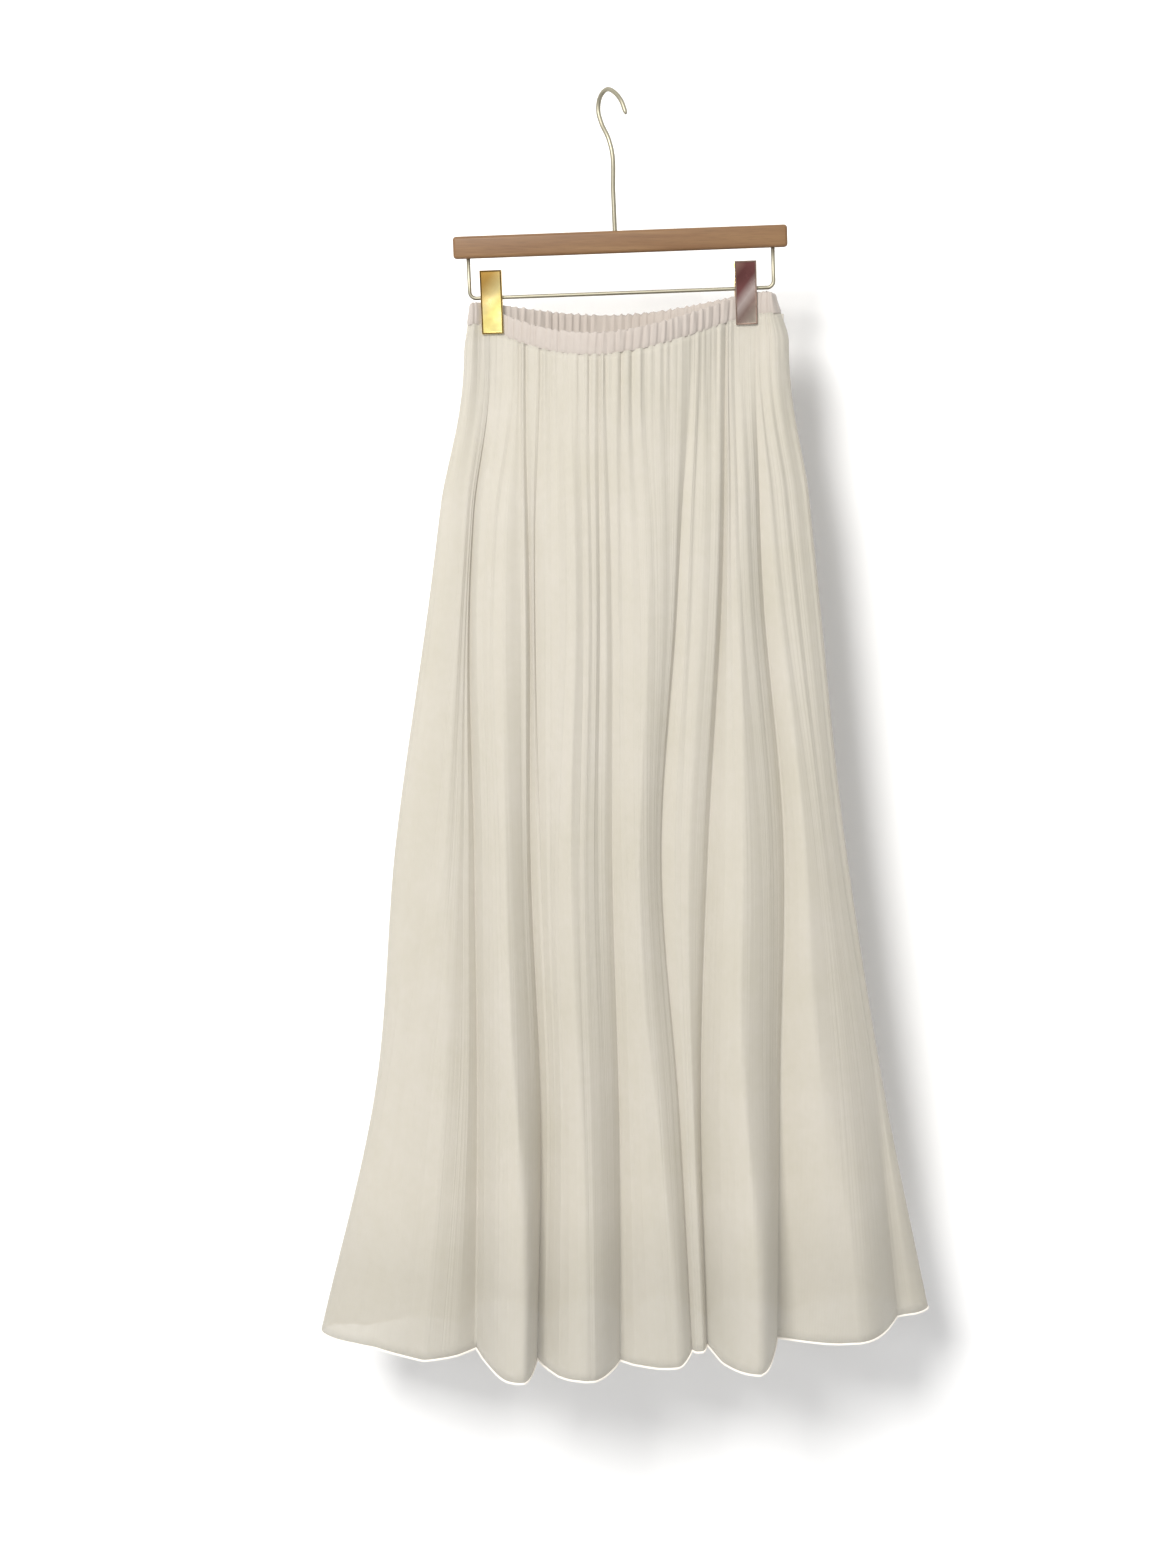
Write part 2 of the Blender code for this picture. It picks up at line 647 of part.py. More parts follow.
def main():
    for obj in list(bpy.data.objects):
        bpy.data.objects.remove(obj)
    collection = new_collection("pleated_skirt")
    cutters = new_collection("cutters")
    materials = {name: new_material(name) for name in COLOURS}
    make_skirt(collection, materials)
    make_hanger(collection, cutters, materials)


main()
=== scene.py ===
"""Looks of a long pleated skirt, hung by its waist from the two clips of a wooden hanger.

Metres, +Z up. The front of the skirt faces -Y and +X is to the right of someone who looks at it.
"""

import math
from collections import namedtuple

import bmesh
import bpy
import numpy as np
from mathutils import Matrix, Vector


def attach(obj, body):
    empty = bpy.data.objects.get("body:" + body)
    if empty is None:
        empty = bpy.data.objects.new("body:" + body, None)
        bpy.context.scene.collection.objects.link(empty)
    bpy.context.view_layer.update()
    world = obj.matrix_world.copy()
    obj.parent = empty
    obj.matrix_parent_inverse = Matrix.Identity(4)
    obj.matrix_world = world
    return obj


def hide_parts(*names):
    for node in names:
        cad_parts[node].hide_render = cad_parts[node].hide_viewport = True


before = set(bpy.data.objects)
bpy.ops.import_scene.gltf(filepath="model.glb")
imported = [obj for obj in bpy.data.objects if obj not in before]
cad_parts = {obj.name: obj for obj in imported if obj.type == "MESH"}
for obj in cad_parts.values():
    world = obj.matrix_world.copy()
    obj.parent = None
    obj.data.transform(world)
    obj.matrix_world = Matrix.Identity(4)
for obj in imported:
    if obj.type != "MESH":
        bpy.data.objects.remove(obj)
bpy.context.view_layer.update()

MM = 0.001
GAP = 0.3 * MM  # air between pieces that touch
FRONT = -1
BACK = 1
SIDES = {"front": FRONT, "back": BACK}

# Hanger, in its own upright frame; the whole hanger leans by TILT, right end up
TILT = math.radians(2.1)
BAR_CENTRE_X = 7 * MM
BAR_LENGTH = 308 * MM
BAR_HEIGHT = 20.4 * MM
BAR_DEPTH = 12 * MM
BAR_TOP = -124.5 * MM
BAR_ROUNDING = 3.2 * MM
WIRE_SEAT = 9 * MM
HOOK_WIRE = 2.1 * MM
FRAME_WIRE = 1.75 * MM
FRAME_WIDTH = 281 * MM
FRAME_BEND = 6 * MM
BEND_POINTS = 14
ROD_HEIGHT = -181 * MM
CLIP_PLACES = {"left": -113.5 * MM, "right": 121.5 * MM}
CLIP_WIDTH = 20 * MM
CLIP_TOP = -156 * MM
CLIP_FOOT = -214 * MM
JAW_REACH = 4.0 * MM
JAW_PLATE = 2.2 * MM
JAW_FLARE = 2.6 * MM
JAW_RIM = 1.4 * MM  # width of the raised edge round a jaw's face
JAW_RECESS = 0.3 * MM
SLEEVE_WALL = 1.6 * MM
SLEEVE_LENGTH = 16 * MM
SLEEVE_RADIUS = FRAME_WIRE + GAP + SLEEVE_WALL
SPRING_TURNS = 9

HOOK_LINE = (
    (2.6, 0, -133.5),
    (2.2, 0, -90),
    (1.7, 0, -50),
    (-0.6, 2.2, -41),
    (-6.4, 8.4, -27),
    (-8.8, 11.4, -15.5),
    (-7.2, 9.6, -5),
    (-3, 4.2, 0.9),
    (0, 0, 2.1),
    (7.2, -8.6, -2.4),
    (12, -14.2, -9.5),
    (16, -18.8, -22),
)

# Waist
WAIST_LEFT = -132.5 * MM
WAIST_RIGHT = 168.5 * MM
BAND_HEIGHT = 20 * MM
BAND_WALL = 2.4 * MM
FRONT_SAG = 31 * MM
BACK_SAG = 16 * MM
SAG_LEAN = 0.8
SAG_ROUND = 1.15
FRONT_BOW = 34 * MM
BACK_BOW = 30 * MM
LOOP_LEFT = 6 * MM
LOOP_RIGHT = 9 * MM
LOOP_LEAN = 0.7
PRESSED_AT = 30 * MM
PRESSED_RUN = 20 * MM
PRESSED_GATHERS = 0.85
PRESSED_PLEATS = 0.9
BAND_PINCH = 1.95 * MM
CLOTH_PINCH = 2.6 * MM
LINING_PINCH = 1.0 * MM

# Pleated cloth
SKIRT_DROP = 982 * MM
MIDDLE_LIFT = 9 * MM
CLIP_HOLD = 0.012
CLIP_EASE = 0.17
CASING_SEAM = 0.5 * MM
RIGHT_SEAM_SWING = 32 * MM
NORMAL_EVENING = 3

# Lining
LINING_COLUMNS = 34
LINING_HEM = 0.865
LINING_BOW = (21.5, 14.5, 24)
LINING_TAPER = 1.6
LINING_LOOP = 0.15
LINING_ROOM = 3.6 * MM
LINING_SWING = 0.4
LINING_INSET = (5, 14, 32)
LINING_FOLDS = 4.5
LINING_FOLD_DEPTH = 2.5 * MM

# Large folds, from the left side seam to the right one, mm. A row is a valley and the lobe to the
# right of it. x: the valley at the waist, a quarter, half and three quarters down, and at the hem.
# in_: how far the valley stands off the middle plane, halfway down and at the hem. out: the same
# for the lobe's ridge. peak: where the ridge lies, as a share of the way to the next valley.
Fold = namedtuple("Fold", "name x in_mid in_hem peak out_mid out_hem")
LEFT_EDGE = (-135, -166, -202, -225, -282)
RIGHT_EDGE = (169.5, 198.5, 228, 270.5, 324)
FOLDS = {
    "front": (
        Fold("left_seam", LEFT_EDGE, 0, 0, 0.68, 26, 58),
        Fold("sharp_line", (-110, -129, -126, -124, -127), 16, 34, 0.5, 46, 98),
        Fold("left_gap", (-77, -72, -72, -63, -67), 25, 38, 0.5, 52, 93),
        Fold("middle_gap", (-1, 5, 6, 13, 14), 31, 38, 0.5, 47, 63),
        Fold("slant", (76, 66, 52, 70, 84), 27, 45, 0.5, 36, 50),
        Fold("under_fold", (110, 108, 97, 91, 99), 23, 36, 0.5, 46, 106),
        Fold("right_line", (138, 146, 169, 168, 168), 16, 34, 0.45, 32, 50),
        Fold("tuck", (164, 191, 220, 261, 291), 12, -12, 0.5, 7, -16),
    ),
    "back": (
        Fold("left_seam", LEFT_EDGE, 0, 0, 0.60, 28, 56),
        Fold("outer_left", (-108, -120, -128, -138, -148), 16, 34, 0.5, 42, 90),
        Fold("inner_left", (-62, -62, -60, -58, -56), 26, 38, 0.5, 50, 86),
        Fold("middle", (-4, 6, 14, 20, 26), 30, 38, 0.5, 50, 94),
        Fold("inner_right", (56, 66, 78, 90, 102), 25, 36, 0.5, 42, 85),
        Fold("outer_right", (110, 126, 146, 166, 186), 16, 36, 0.5, 30, 64),
    ),
}
# How far each large fold's ridge leans to the right of the solid's, as a share of the fold's width:
# in the pressed part, and at the hem
LEANS = {
    "front": (
        (0, 0), (0.06, 0.3), (0, 0.1), (0.05, 0.3), (0.08, 0.2), (-0.06, 0.2), (-0.1, 0.2), (0, 0)
    ),
    "back": ((0, 0), (-0.14, -0.18), (-0.1, -0.2), (-0.15, -0.1), (-0.12, -0.18), (0, 0)),
}

# Pleats pressed into the front, from left to right. Each is a crease line that lies deeper than the
# cloth beside it. x: where it runs at the waist, a quarter, half and three quarters down, and at the
# hem, mm. deep: how far behind the ridges beside it, at the same heights, mm.
Pleat = namedtuple("Pleat", "x deep")
FRONT_PLEATS = (
    Pleat((-121.8, -141, -165, -204.5, -246), (1.5, 2.9, 1.6, 1.3, 0.8)),
    Pleat((-115.4, -133.5, -147, -171, -195), (1, 1.4, 0.8, 0.5, 0.5)),
    Pleat((-111.8, -131, -136.5, -142, -161), (0.4, 0.5, 0.6, 1, 0.7)),
    Pleat((-110, -129, -126, -124, -127), (2.1, 6.1, 3.6, 3.4, 3.1)),
    Pleat((-99, -115, -112, -112, -113), (1.5, 0.7, 0.2, 0.3, 0.2)),
    Pleat((-89, -106, -100.7, -97, -100.7), (1.7, 1.1, 0.6, 0.6, 0.8)),
    Pleat((-82, -80, -79, -71.5, -76), (1.5, 2.2, 1.6, 0.6, 0.6)),
    Pleat((-77, -72, -72, -63, -67), (2.1, 5.7, 2.8, 3.1, 4)),
    Pleat((-64, -67, -61.9, -54, -58), (2, 3.4, 2.2, 0.4, 0.2)),
    Pleat((-54, -52, -53, -47, -50), (1.7, 0.7, 0.2, 0.2, 0.2)),
    Pleat((-41.4, -38, -45.9, -40.5, -42.7), (1.8, 1.7, 1.4, 1.4, 1.1)),
    Pleat((-27.7, -22.3, -26.1, -19.4, -15.6), (2, 2.5, 1.8, 1.8, 2)),
    Pleat((-18, -14, -17, -11, -7), (1.7, 0.6, 0.2, 0.1, 0)),
    Pleat((-8.5, -6.5, -8.1, -0.3, 4.8), (2.1, 3.4, 1.7, 0.5, 0.2)),
    Pleat((-1, 5, 6, 13, 14), (1.6, 2.1, 1.4, 2.2, 3.3)),
    Pleat((11.6, 14.8, 19.3, 26.6, 34.8), (1.8, 1, 0.2, 0.4, 0.2)),
    Pleat((21.6, 30.6, 32.5, 45.8, 61.9), (1.8, 0.7, 0.8, 1.3, 1.1)),
    Pleat((35, 44, 42.9, 59.2, 73.5), (1.5, 0.6, 0.3, 0.4, 0.2)),
    Pleat((54.5, 57, 48, 65, 79), (1.5, 0.5, 0.2, 0.2, 0)),
    Pleat((76, 66, 52, 70, 84), (2.2, 5.2, 2.6, 2, 3.1)),
    Pleat((85, 79, 70, 78, 90), (1.5, 0.6, 0.6, 0.4, 0.2)),
    Pleat((96, 95, 84, 85, 95), (1.5, 0.8, 0.4, 0.2, 0.1)),
    Pleat((110, 108, 97, 91, 99), (3.6, 7.7, 2.8, 1.5, 3.1)),
    Pleat((113.5, 116, 121, 118, 124), (1, 0.7, 0.5, 0.4, 0.5)),
    Pleat((119, 125.2, 146.7, 150, 154), (2, 2.5, 1.4, 0.9, 0.6)),
    Pleat((128, 137, 158, 160, 161), (1.7, 0.5, 0.2, 0.2, 0.2)),
    Pleat((138, 146, 169, 168, 168), (2.1, 4, 1.9, 2.4, 3.1)),
    Pleat((142.5, 164.2, 198, 222, 240), (1.7, 2.5, 1.1, 0.8, 0.6)),
    Pleat((152, 178, 209, 242, 266), (1.5, 1.5, 0.6, 0.4, 0.4)),
    Pleat((164, 191, 220, 261, 291), (1.5, 2.5, 1.4, 1, 1.1)),
)
BACK_FOLD_DEEP = (2, 5.5, 4.5, 4.2, 3.2)  # the same for the large folds' valleys behind
BACK_PLEATS_IN_FOLD = 5
BACK_PLEAT_DEEP = (1.6, 2.8, 1.9, 1.7, 0.7)
BACK_PLEAT_DRIFT = 0.55
RIDGE_PLACE = {"front": (0.48, 0.72), "back": (0.3, 0.5)}  # a ridge's share of the way between lines
LEFT_STEPS = (0, 0.1, 0.26, 0.42, 0.58, 0.74, 0.9)  # columns on a pleat's left face
RIGHT_STEPS = (0, 0.16, 0.5, 0.84)  # and on its right one
SEAM_STEPS = (0, 0.012, 0.045, 0.1, 0.2)  # more columns where the cloth turns over at a side seam
GATHERS_END = 0.4  # share of the drop where soft gathers have become crisp creases
LINE_ROOM = 0.4  # the least distance between crease lines, mm
LINE_BACK = 0.55  # share of its depth that a line lies behind the large fold
RIDGE_FORWARD = 0.45  # share of the mean depth beside it that a ridge stands before it
SEAMS_FLATTEN = 30  # the relief dies out over one part in so many of the width at a side seam
PAINTED_SHADE_DEPTH = 4.5  # depth at which a valley's painted shade is at its darkest, mm

# How much lower than the solids' the hem hangs, mm, at x along it, mm
HEM_DIPS = {
    "front": (
        (-282, -225, -178, -127, -97, -26, 14, 84, 112, 150, 168, 230, 291, 324),
        (0, 2, 8, 4, 7, -3, 0, 2, 13, 12, 8, 8, 3, 0),
    ),
    "back": ((-282, -240, -150, 0, 150, 324), (0, 14, 9, -2, 6, 0)),
}
HEM_DIP_FROM = 0.7

# What the finished cloth adds to the solids
CLOTH_SHELL = 0.45 * MM
LINING_SHELL = 0.5 * MM
FOLD_SOFTENS = (0.62, 0.95)  # shares of the drop between which the pressed folds round out
FOLD_BULGE = (0.14, 0.24)  # how far a fold's faces swell, pressed and rounded out
SIDE_ROUND = 0.75  # how round the cloth turns over at the side seams
WAIST_ROWS = 20
WAIST_RUN = 0.1
SKIRT_ROWS = 84
WAIST_GATHERS = 36
WAIST_GATHER_DEPTH = 1.3 * MM
WAIST_GATHER_RUN = 0.1  # share of the drop over which the gathers below the casing fade
SEAM_TUCK = 1.6 * MM  # how far the cloth goes up into the casing
GRIP_RUN = 9 * MM  # how far beside a clip the gathers are still pressed
WAIST_DRAWN_IN = {"left": 6 * MM, "right": 13 * MM}  # how far the waist's ends lean in at the top
DRAWN_IN_FROM = {"left": 0.052, "right": 0.1}  # share of the waist's length, from each end
DRAWN_IN_BELOW = 26 * MM
CASING_CORNER = 3 * MM  # how far the casing's top drops at its ends
CASING_GATHERS = 42
CASING_COLUMNS = 8  # for each gather
CASING_GATHER_DEPTH = 1.25 * MM
CASING_SCALLOP = 1.2 * MM
CASING_ENDS_FLATTEN = 40  # as SEAMS_FLATTEN, for the casing's gathers
HEM_CORD = 1.2 * MM
HEM_POINTS = 700
SEAM_CORD = 0.5 * MM
LINING_WAIST_ROWS = 8
LINING_WAIST_RUN = 0.06
LINING_ROWS = 70
PAINTED_GLOW = 0.28  # strength of a painted glow: the cloth gives off its own colour, standing in for light that comes through it from behind
UNLINED_SHADE_FROM = -1.12  # at this height and below, the cloth hangs clear of the lining and its colour is darkened there as painted shade, m
UNLINED_SHADE_TO = -1.04
SEAM_INSIDE = 2.5 * MM  # how far inside the panels' edges the side seams lie

# Stage, light and camera
FLOOR_HEIGHT = -3.2
WALL_DEPTH = 0.15
LAMP_PLACE = (-1.05, -2.8, 1.05)
LAMP_AIM = (0.25, 0, -1.4)
LAMP_SIZE = 1.0
LAMP_POWER = 138
CAMERA_PLACE = (-0.0204, -2.4, -0.2088)
CAMERA_PITCH = math.radians(80.06)
LENS = 59.56

across_skirt = {
    place: x * math.cos(TILT) - ROD_HEIGHT * math.sin(TILT) for place, x in CLIP_PLACES.items()
}
CLIP_LEFT = across_skirt["left"]
CLIP_RIGHT = across_skirt["right"]
CLIP_HALF = CLIP_WIDTH / 2
random = np.random.default_rng(11)


def ease(share):
    """0 to 1 with flat ends."""
    share = np.clip(share, 0, 1)
    return share * share * (3 - 2 * share)


def through(values, share):
    """A smooth curve through evenly spaced values, read at a share of its length."""
    values = np.asarray(values, float)
    last = len(values) - 1
    place = float(np.clip(share, 0, 1)) * last
    start = min(int(place), last - 1)
    s = place - start
    run = np.concatenate([[2 * values[0] - values[1]], values, [2 * values[-1] - values[-2]]])
    a, b, c, d = run[start : start + 4]
    return b + 0.5 * s * (c - a + s * (2 * a - 5 * b + 4 * c - d + s * (3 * (b - c) + d - a)))


def smooth_line(points, first=None, last=None, per_gap=12):
    """Points close together on a smooth curve through the given ones, with its end directions."""
    points = np.asarray(points, float)
    steps = np.diff(points, axis=0)
    gaps = np.linalg.norm(steps, axis=1)[:, None]
    slopes = steps / gaps
    inner = (slopes[:-1] * gaps[1:] + slopes[1:] * gaps[:-1]) / (gaps[:-1] + gaps[1:])
    start = slopes[0] if first is None else np.asarray(first, float)
    end = slopes[-1] if last is None else np.asarray(last, float)
    tangents = np.vstack([start, inner, end])
    s = np.linspace(0, 1, per_gap, endpoint=False)[:, None]
    line = [
        (2 * s**3 - 3 * s**2 + 1) * points[i]
        + (s**3 - 2 * s**2 + s) * gaps[i] * tangents[i]
        + (3 * s**2 - 2 * s**3) * points[i + 1]
        + (s**3 - s**2) * gaps[i] * tangents[i + 1]
        for i in range(len(steps))
    ]
    return np.vstack(line + [points[-1:]])


def spaced(line, shares):
    """Points at the given shares of a line's length."""
    steps = np.linalg.norm(np.diff(line, axis=0), axis=1)
    run = np.concatenate([[0], np.cumsum(steps)])
    places = np.asarray(shares) * run[-1]
    return np.stack([np.interp(places, run, column) for column in line.T], axis=1)


def outward(points, side):
    """Unit normals of a plan curve that runs from left to right, evened out along the curve."""
    along = np.gradient(points, axis=0)
    normals = side * np.stack([-along[:, 1], along[:, 0]], axis=1)
    for _ in range(NORMAL_EVENING):
        normals /= np.linalg.norm(normals, axis=1)[:, None]
        normals[1:-1] = normals[:-2] + 2 * normals[1:-1] + normals[2:]
    return normals / np.linalg.norm(normals, axis=1)[:, None]


def band_top(x, side):
    """Height of the waist's top edge: just under the rod at the clips, sagging between them."""
    sag = FRONT_SAG if side == FRONT else BACK_SAG
    lean = SAG_LEAN if side == FRONT else 1
    left = CLIP_LEFT - CLIP_HALF
    share = np.clip((x - left) / (CLIP_RIGHT + CLIP_HALF - left), 0, 1)
    straight = x * math.tan(TILT) + (ROD_HEIGHT - SLEEVE_RADIUS - GAP) / math.cos(TILT)
    return straight - sag * np.sin(np.pi * share**lean) ** SAG_ROUND


def near_clips(x):
    """1 between the jaws and beyond them, 0 well inside the waist."""
    centre = (CLIP_LEFT + CLIP_RIGHT) / 2
    reach = (CLIP_RIGHT - CLIP_LEFT) / 2
    return ease((np.abs(x - centre) - reach + PRESSED_AT) / PRESSED_RUN)


def waist_plan(side, pinch, loop_share=1.0, inset=0.0, room=0.0):
    """The waist from above, left to right: a loop, a clip's grip, the bow, a grip and a loop."""
    bow = FRONT_BOW if side == FRONT else BACK_BOW
    share = np.linspace(0, 1, 40)
    left, right = WAIST_LEFT + inset, WAIST_RIGHT - inset
    left_grip = (CLIP_LEFT - CLIP_HALF, CLIP_LEFT + CLIP_HALF)
    right_grip = (CLIP_RIGHT - CLIP_HALF, CLIP_RIGHT + CLIP_HALF)
    opening = np.sin(np.pi * share**LOOP_LEAN)
    rise = pinch * ease(2 * share)
    left_y = rise + loop_share * LOOP_LEFT * opening
    right_y = rise + loop_share * LOOP_RIGHT * opening
    middle_y = pinch + bow * np.sin(np.pi * share) ** SAG_ROUND
    x = np.concatenate(
        [
            left + (left_grip[0] - left) * share,
            left_grip[1] + (right_grip[0] - left_grip[1]) * share,
            (right + (right_grip[1] - right) * share)[::-1],
        ]
    )
    y = np.concatenate([left_y, middle_y, right_y[::-1]]) - room * (1 - near_clips(x))
    return np.stack([x, side * y], axis=1)


def right_seam_swing(share):
    return RIGHT_SEAM_SWING * ease(2 * share - 1)


def heights(held, side, shares, share):
    """Heights of a row's points, below where each column leaves the casing."""
    seam = band_top(held[:, 0], side) - BAND_HEIGHT - CASING_SEAM
    drop = SKIRT_DROP - MIDDLE_LIFT * np.sin(np.pi * shares)
    return seam - share * drop


def hold(share):
    """How much of the clips' hold is left at a share of the way down: 1 in the jaws, then less."""
    return 1 - ease((share - CLIP_HOLD) / (CLIP_EASE - CLIP_HOLD))


def parted(row, side):
    """A row whose ends stand half a gap off the side seams."""
    row[[0, -1], 1] += side * GAP / 2
    return row


def near_jaws(x):
    """1 between a clip's jaws, 0 a little way beside them."""
    off = np.minimum(abs(x - CLIP_LEFT), abs(x - CLIP_RIGHT))
    return 1 - ease((off - CLIP_HALF) / GRIP_RUN)


def back_pleats():
    """Pleats for the hidden side: a crease line at each large fold, and uneven ones between."""
    folds = FOLDS["back"]
    edges = [np.array(fold.x, float) for fold in folds] + [np.array(RIGHT_EDGE, float)]
    pleats = []
    for index, (line, following) in enumerate(zip(edges, edges[1:])):
        if index:
            pleats.append(Pleat(line, BACK_FOLD_DEEP))
        for k in range(1, BACK_PLEATS_IN_FOLD + 1):
            drift = BACK_PLEAT_DRIFT * random.uniform(-1, 1, 2)
            shares = (k + np.linspace(drift[0], drift[1], 5)) / (BACK_PLEATS_IN_FOLD + 1)
            deep = np.array(BACK_PLEAT_DEEP) * random.uniform(0.25, 1.3)
            pleats.append(Pleat(line + (following - line) * shares, deep))
    return pleats


class Creases:
    """A panel's crease lines, and its columns, each at a share of the way between two lines."""

    def __init__(self, place):
        pleats = FRONT_PLEATS if place == "front" else back_pleats()
        flat = (0,) * 5
        lines = [Pleat(LEFT_EDGE, flat), *pleats, Pleat(RIGHT_EDGE, flat)]
        self.x = np.array([line.x for line in lines], float).T
        self.deep = np.array([line.deep for line in lines], float).T
        self.gap, self.share, self.ridge = [], [], []
        for index in range(len(lines) - 1):
            ridge = random.uniform(*RIDGE_PLACE[place])
            steps = {ridge * step for step in LEFT_STEPS}
            steps |= {ridge + (1 - ridge) * step for step in RIGHT_STEPS}
            if index == 0:
                steps |= set(SEAM_STEPS)
            if index == len(lines) - 2:
                steps |= {1 - step for step in SEAM_STEPS}
            self.gap += [index] * len(steps)
            self.share += sorted(steps)
            self.ridge += [ridge] * len(steps)
        self.gap, self.share, self.ridge = map(np.array, (self.gap, self.share, self.ridge))

    def between(self, lines):
        """A value at each column, from one at each line."""
        return lines[self.gap] + self.share * (lines[self.gap + 1] - lines[self.gap])

    def places(self, share):
        """x of each column at a share of the way down, mm."""
        lines = through(self.x, share)
        room = LINE_ROOM * np.arange(len(lines))
        return self.between(np.maximum.accumulate(lines - room) + room)

    def relief(self, share):
        """How far each column stands off the large folds, mm: back in the lines, forward between."""
        deep = through(self.deep, share)
        before, after = deep[self.gap], deep[self.gap + 1]
        ridge = RIDGE_FORWARD * (before + after) / 2
        gathered = 1 - ease(share / GATHERS_END)
        up = self.share / self.ridge
        up = up + gathered * (ease(up) - up)
        over = (self.share - self.ridge) / (1 - self.ridge)
        over = over + gathered * (ease(over) - over)
        left = -LINE_BACK * before + (ridge + LINE_BACK * before) * up
        right = ridge - (ridge + LINE_BACK * after) * over
        return np.where(self.share <= self.ridge, left, right)


def large_folds(side, place, share, x):
    """How far the cloth stands off the middle plane, mm: flat faces that round out at the hem."""
    folds = FOLDS[place]
    edges = np.array([through(fold.x, share) for fold in folds] + [through(RIGHT_EDGE, share)])
    centre = (LEFT_EDGE[0] + RIGHT_EDGE[0]) / 2
    half = (RIGHT_EDGE[0] - LEFT_EDGE[0]) / 2
    bow = (FRONT_BOW if side == FRONT else BACK_BOW) / MM
    rounded = ease((share - FOLD_SOFTENS[0]) / (FOLD_SOFTENS[1] - FOLD_SOFTENS[0]))
    bulge = FOLD_BULGE[0] + (FOLD_BULGE[1] - FOLD_BULGE[0]) * rounded

    def off_plane(at, middle, hem):
        at_waist = bow * max(0.0, 1 - ((at - centre) / half) ** 2)
        return through((at_waist, middle, hem), share)

    leans = [pressed + (hem - pressed) * rounded for pressed, hem in LEANS[place]]
    peaks = np.array([fold.peak + lean for fold, lean in zip(folds, leans)])
    ridges_x = edges[:-1] + np.diff(edges) * peaks
    ridges = np.array([off_plane(at, f.out_mid, f.out_hem) for f, at in zip(folds, ridges_x)])
    valleys = [0.0] + [off_plane(at, f.in_mid, f.in_hem) for f, at in zip(folds[1:], edges[1:])]
    valleys = np.array(valleys + [side * right_seam_swing(share) / MM])
    index = np.clip(np.searchsorted(edges, x, side="right") - 1, 0, len(folds) - 1)
    before = x <= ridges_x[index]
    foot_x = np.where(before, edges[index], edges[index + 1])
    foot = np.where(before, valleys[index], valleys[index + 1])
    t = np.clip((x - foot_x) / (ridges_x[index] - foot_x), 0, 1)
    rise = t + bulge * np.sin(np.pi * t)
    turns_over = (before & (index == 0)) | (~before & (index == len(folds) - 1))
    rise = np.where(turns_over, t + SIDE_ROUND * (np.sqrt(1 - (1 - t) ** 2) - t), rise)
    return foot + (ridges[index] - foot) * rise


def drawn_in(shares, above):
    """How far to the right each point of the waist moves, this far above the casing's seam."""
    amount = ease((above + DRAWN_IN_BELOW) / (DRAWN_IN_BELOW + BAND_HEIGHT))
    left = WAIST_DRAWN_IN["left"] * ease(1 - shares / DRAWN_IN_FROM["left"])
    right = WAIST_DRAWN_IN["right"] * ease(1 - (1 - shares) / DRAWN_IN_FROM["right"])
    return amount * (left - right)


def gathers(shares, share):
    """How far the cloth puckers forward just below the casing: two uneven waves along the waist."""
    turns = 2 * np.pi * WAIST_GATHERS * shares
    wave = 0.65 * np.sin(turns + 2.2 * np.sin(0.13 * turns)) + 0.35 * np.sin(1.7 * turns + 1)
    return WAIST_GATHER_DEPTH * wave * (1 - ease(share / WAIST_GATHER_RUN))


def skirt_row(side, place, share, creases):
    """One row of a pleated panel's points, from the left seam to the right one."""
    waist = creases.places(0)
    shares = (waist - waist[0]) / (waist[-1] - waist[0])
    held_x = WAIST_LEFT + (WAIST_RIGHT - WAIST_LEFT) * shares
    line = waist_plan(side, CLOTH_PINCH)
    held_y = np.interp(held_x, line[:, 0], side * line[:, 1])
    x = creases.places(share)
    kept = hold(share)
    loose = 1 - PRESSED_PLEATS * kept * near_jaws(held_x)
    at_seams = ease(np.minimum(shares, 1 - shares) * SEAMS_FLATTEN)
    y = kept * held_y + (1 - kept) * large_folds(side, place, share, x) * MM
    y += (creases.relief(share) * MM + gathers(shares, share)) * loose * at_seams
    along = kept * held_x + (1 - kept) * x * MM
    held = np.column_stack([held_x, held_y])
    down = heights(held, side, shares, share) + SEAM_TUCK * (share == 0)
    dips = np.interp(creases.places(1), *HEM_DIPS[place]) * MM
    down -= dips * ease((share - HEM_DIP_FROM) / (1 - HEM_DIP_FROM))
    row = np.column_stack([along + drawn_in(shares, -share * SKIRT_DROP), side * y, down])
    return parted(row, side)


def lining_row(side, share, columns=4 * LINING_COLUMNS):
    """One row of a lining panel's points, inside the pleated one."""
    shares = np.linspace(0, 1, columns + 1)
    waist_inset = LINING_INSET[0] * MM
    held = spaced(waist_plan(side, LINING_PINCH, LINING_LOOP, waist_inset, LINING_ROOM), shares)
    inset = through(LINING_INSET, share)
    left = (through(LEFT_EDGE, share) + inset) * MM
    right = (through(RIGHT_EDGE, share) - inset) * MM
    across = np.linspace(-1, 1, 60)
    fading = 1 - across**2
    depth = through(LINING_BOW, share) * MM * fading**LINING_TAPER
    wave = LINING_FOLD_DEPTH * ease(2 * share) * fading * np.sin(np.pi * LINING_FOLDS * (across + 1))
    swing = LINING_SWING * right_seam_swing(share) * ease(across)
    x = (left + right) / 2 + (right - left) / 2 * across
    free = spaced(np.stack([x, side * (depth + wave) + swing], axis=1), shares)
    kept = hold(share)
    plan = kept * held + (1 - kept) * free
    return parted(np.column_stack([plan, heights(held, side, shares, share)]), side)


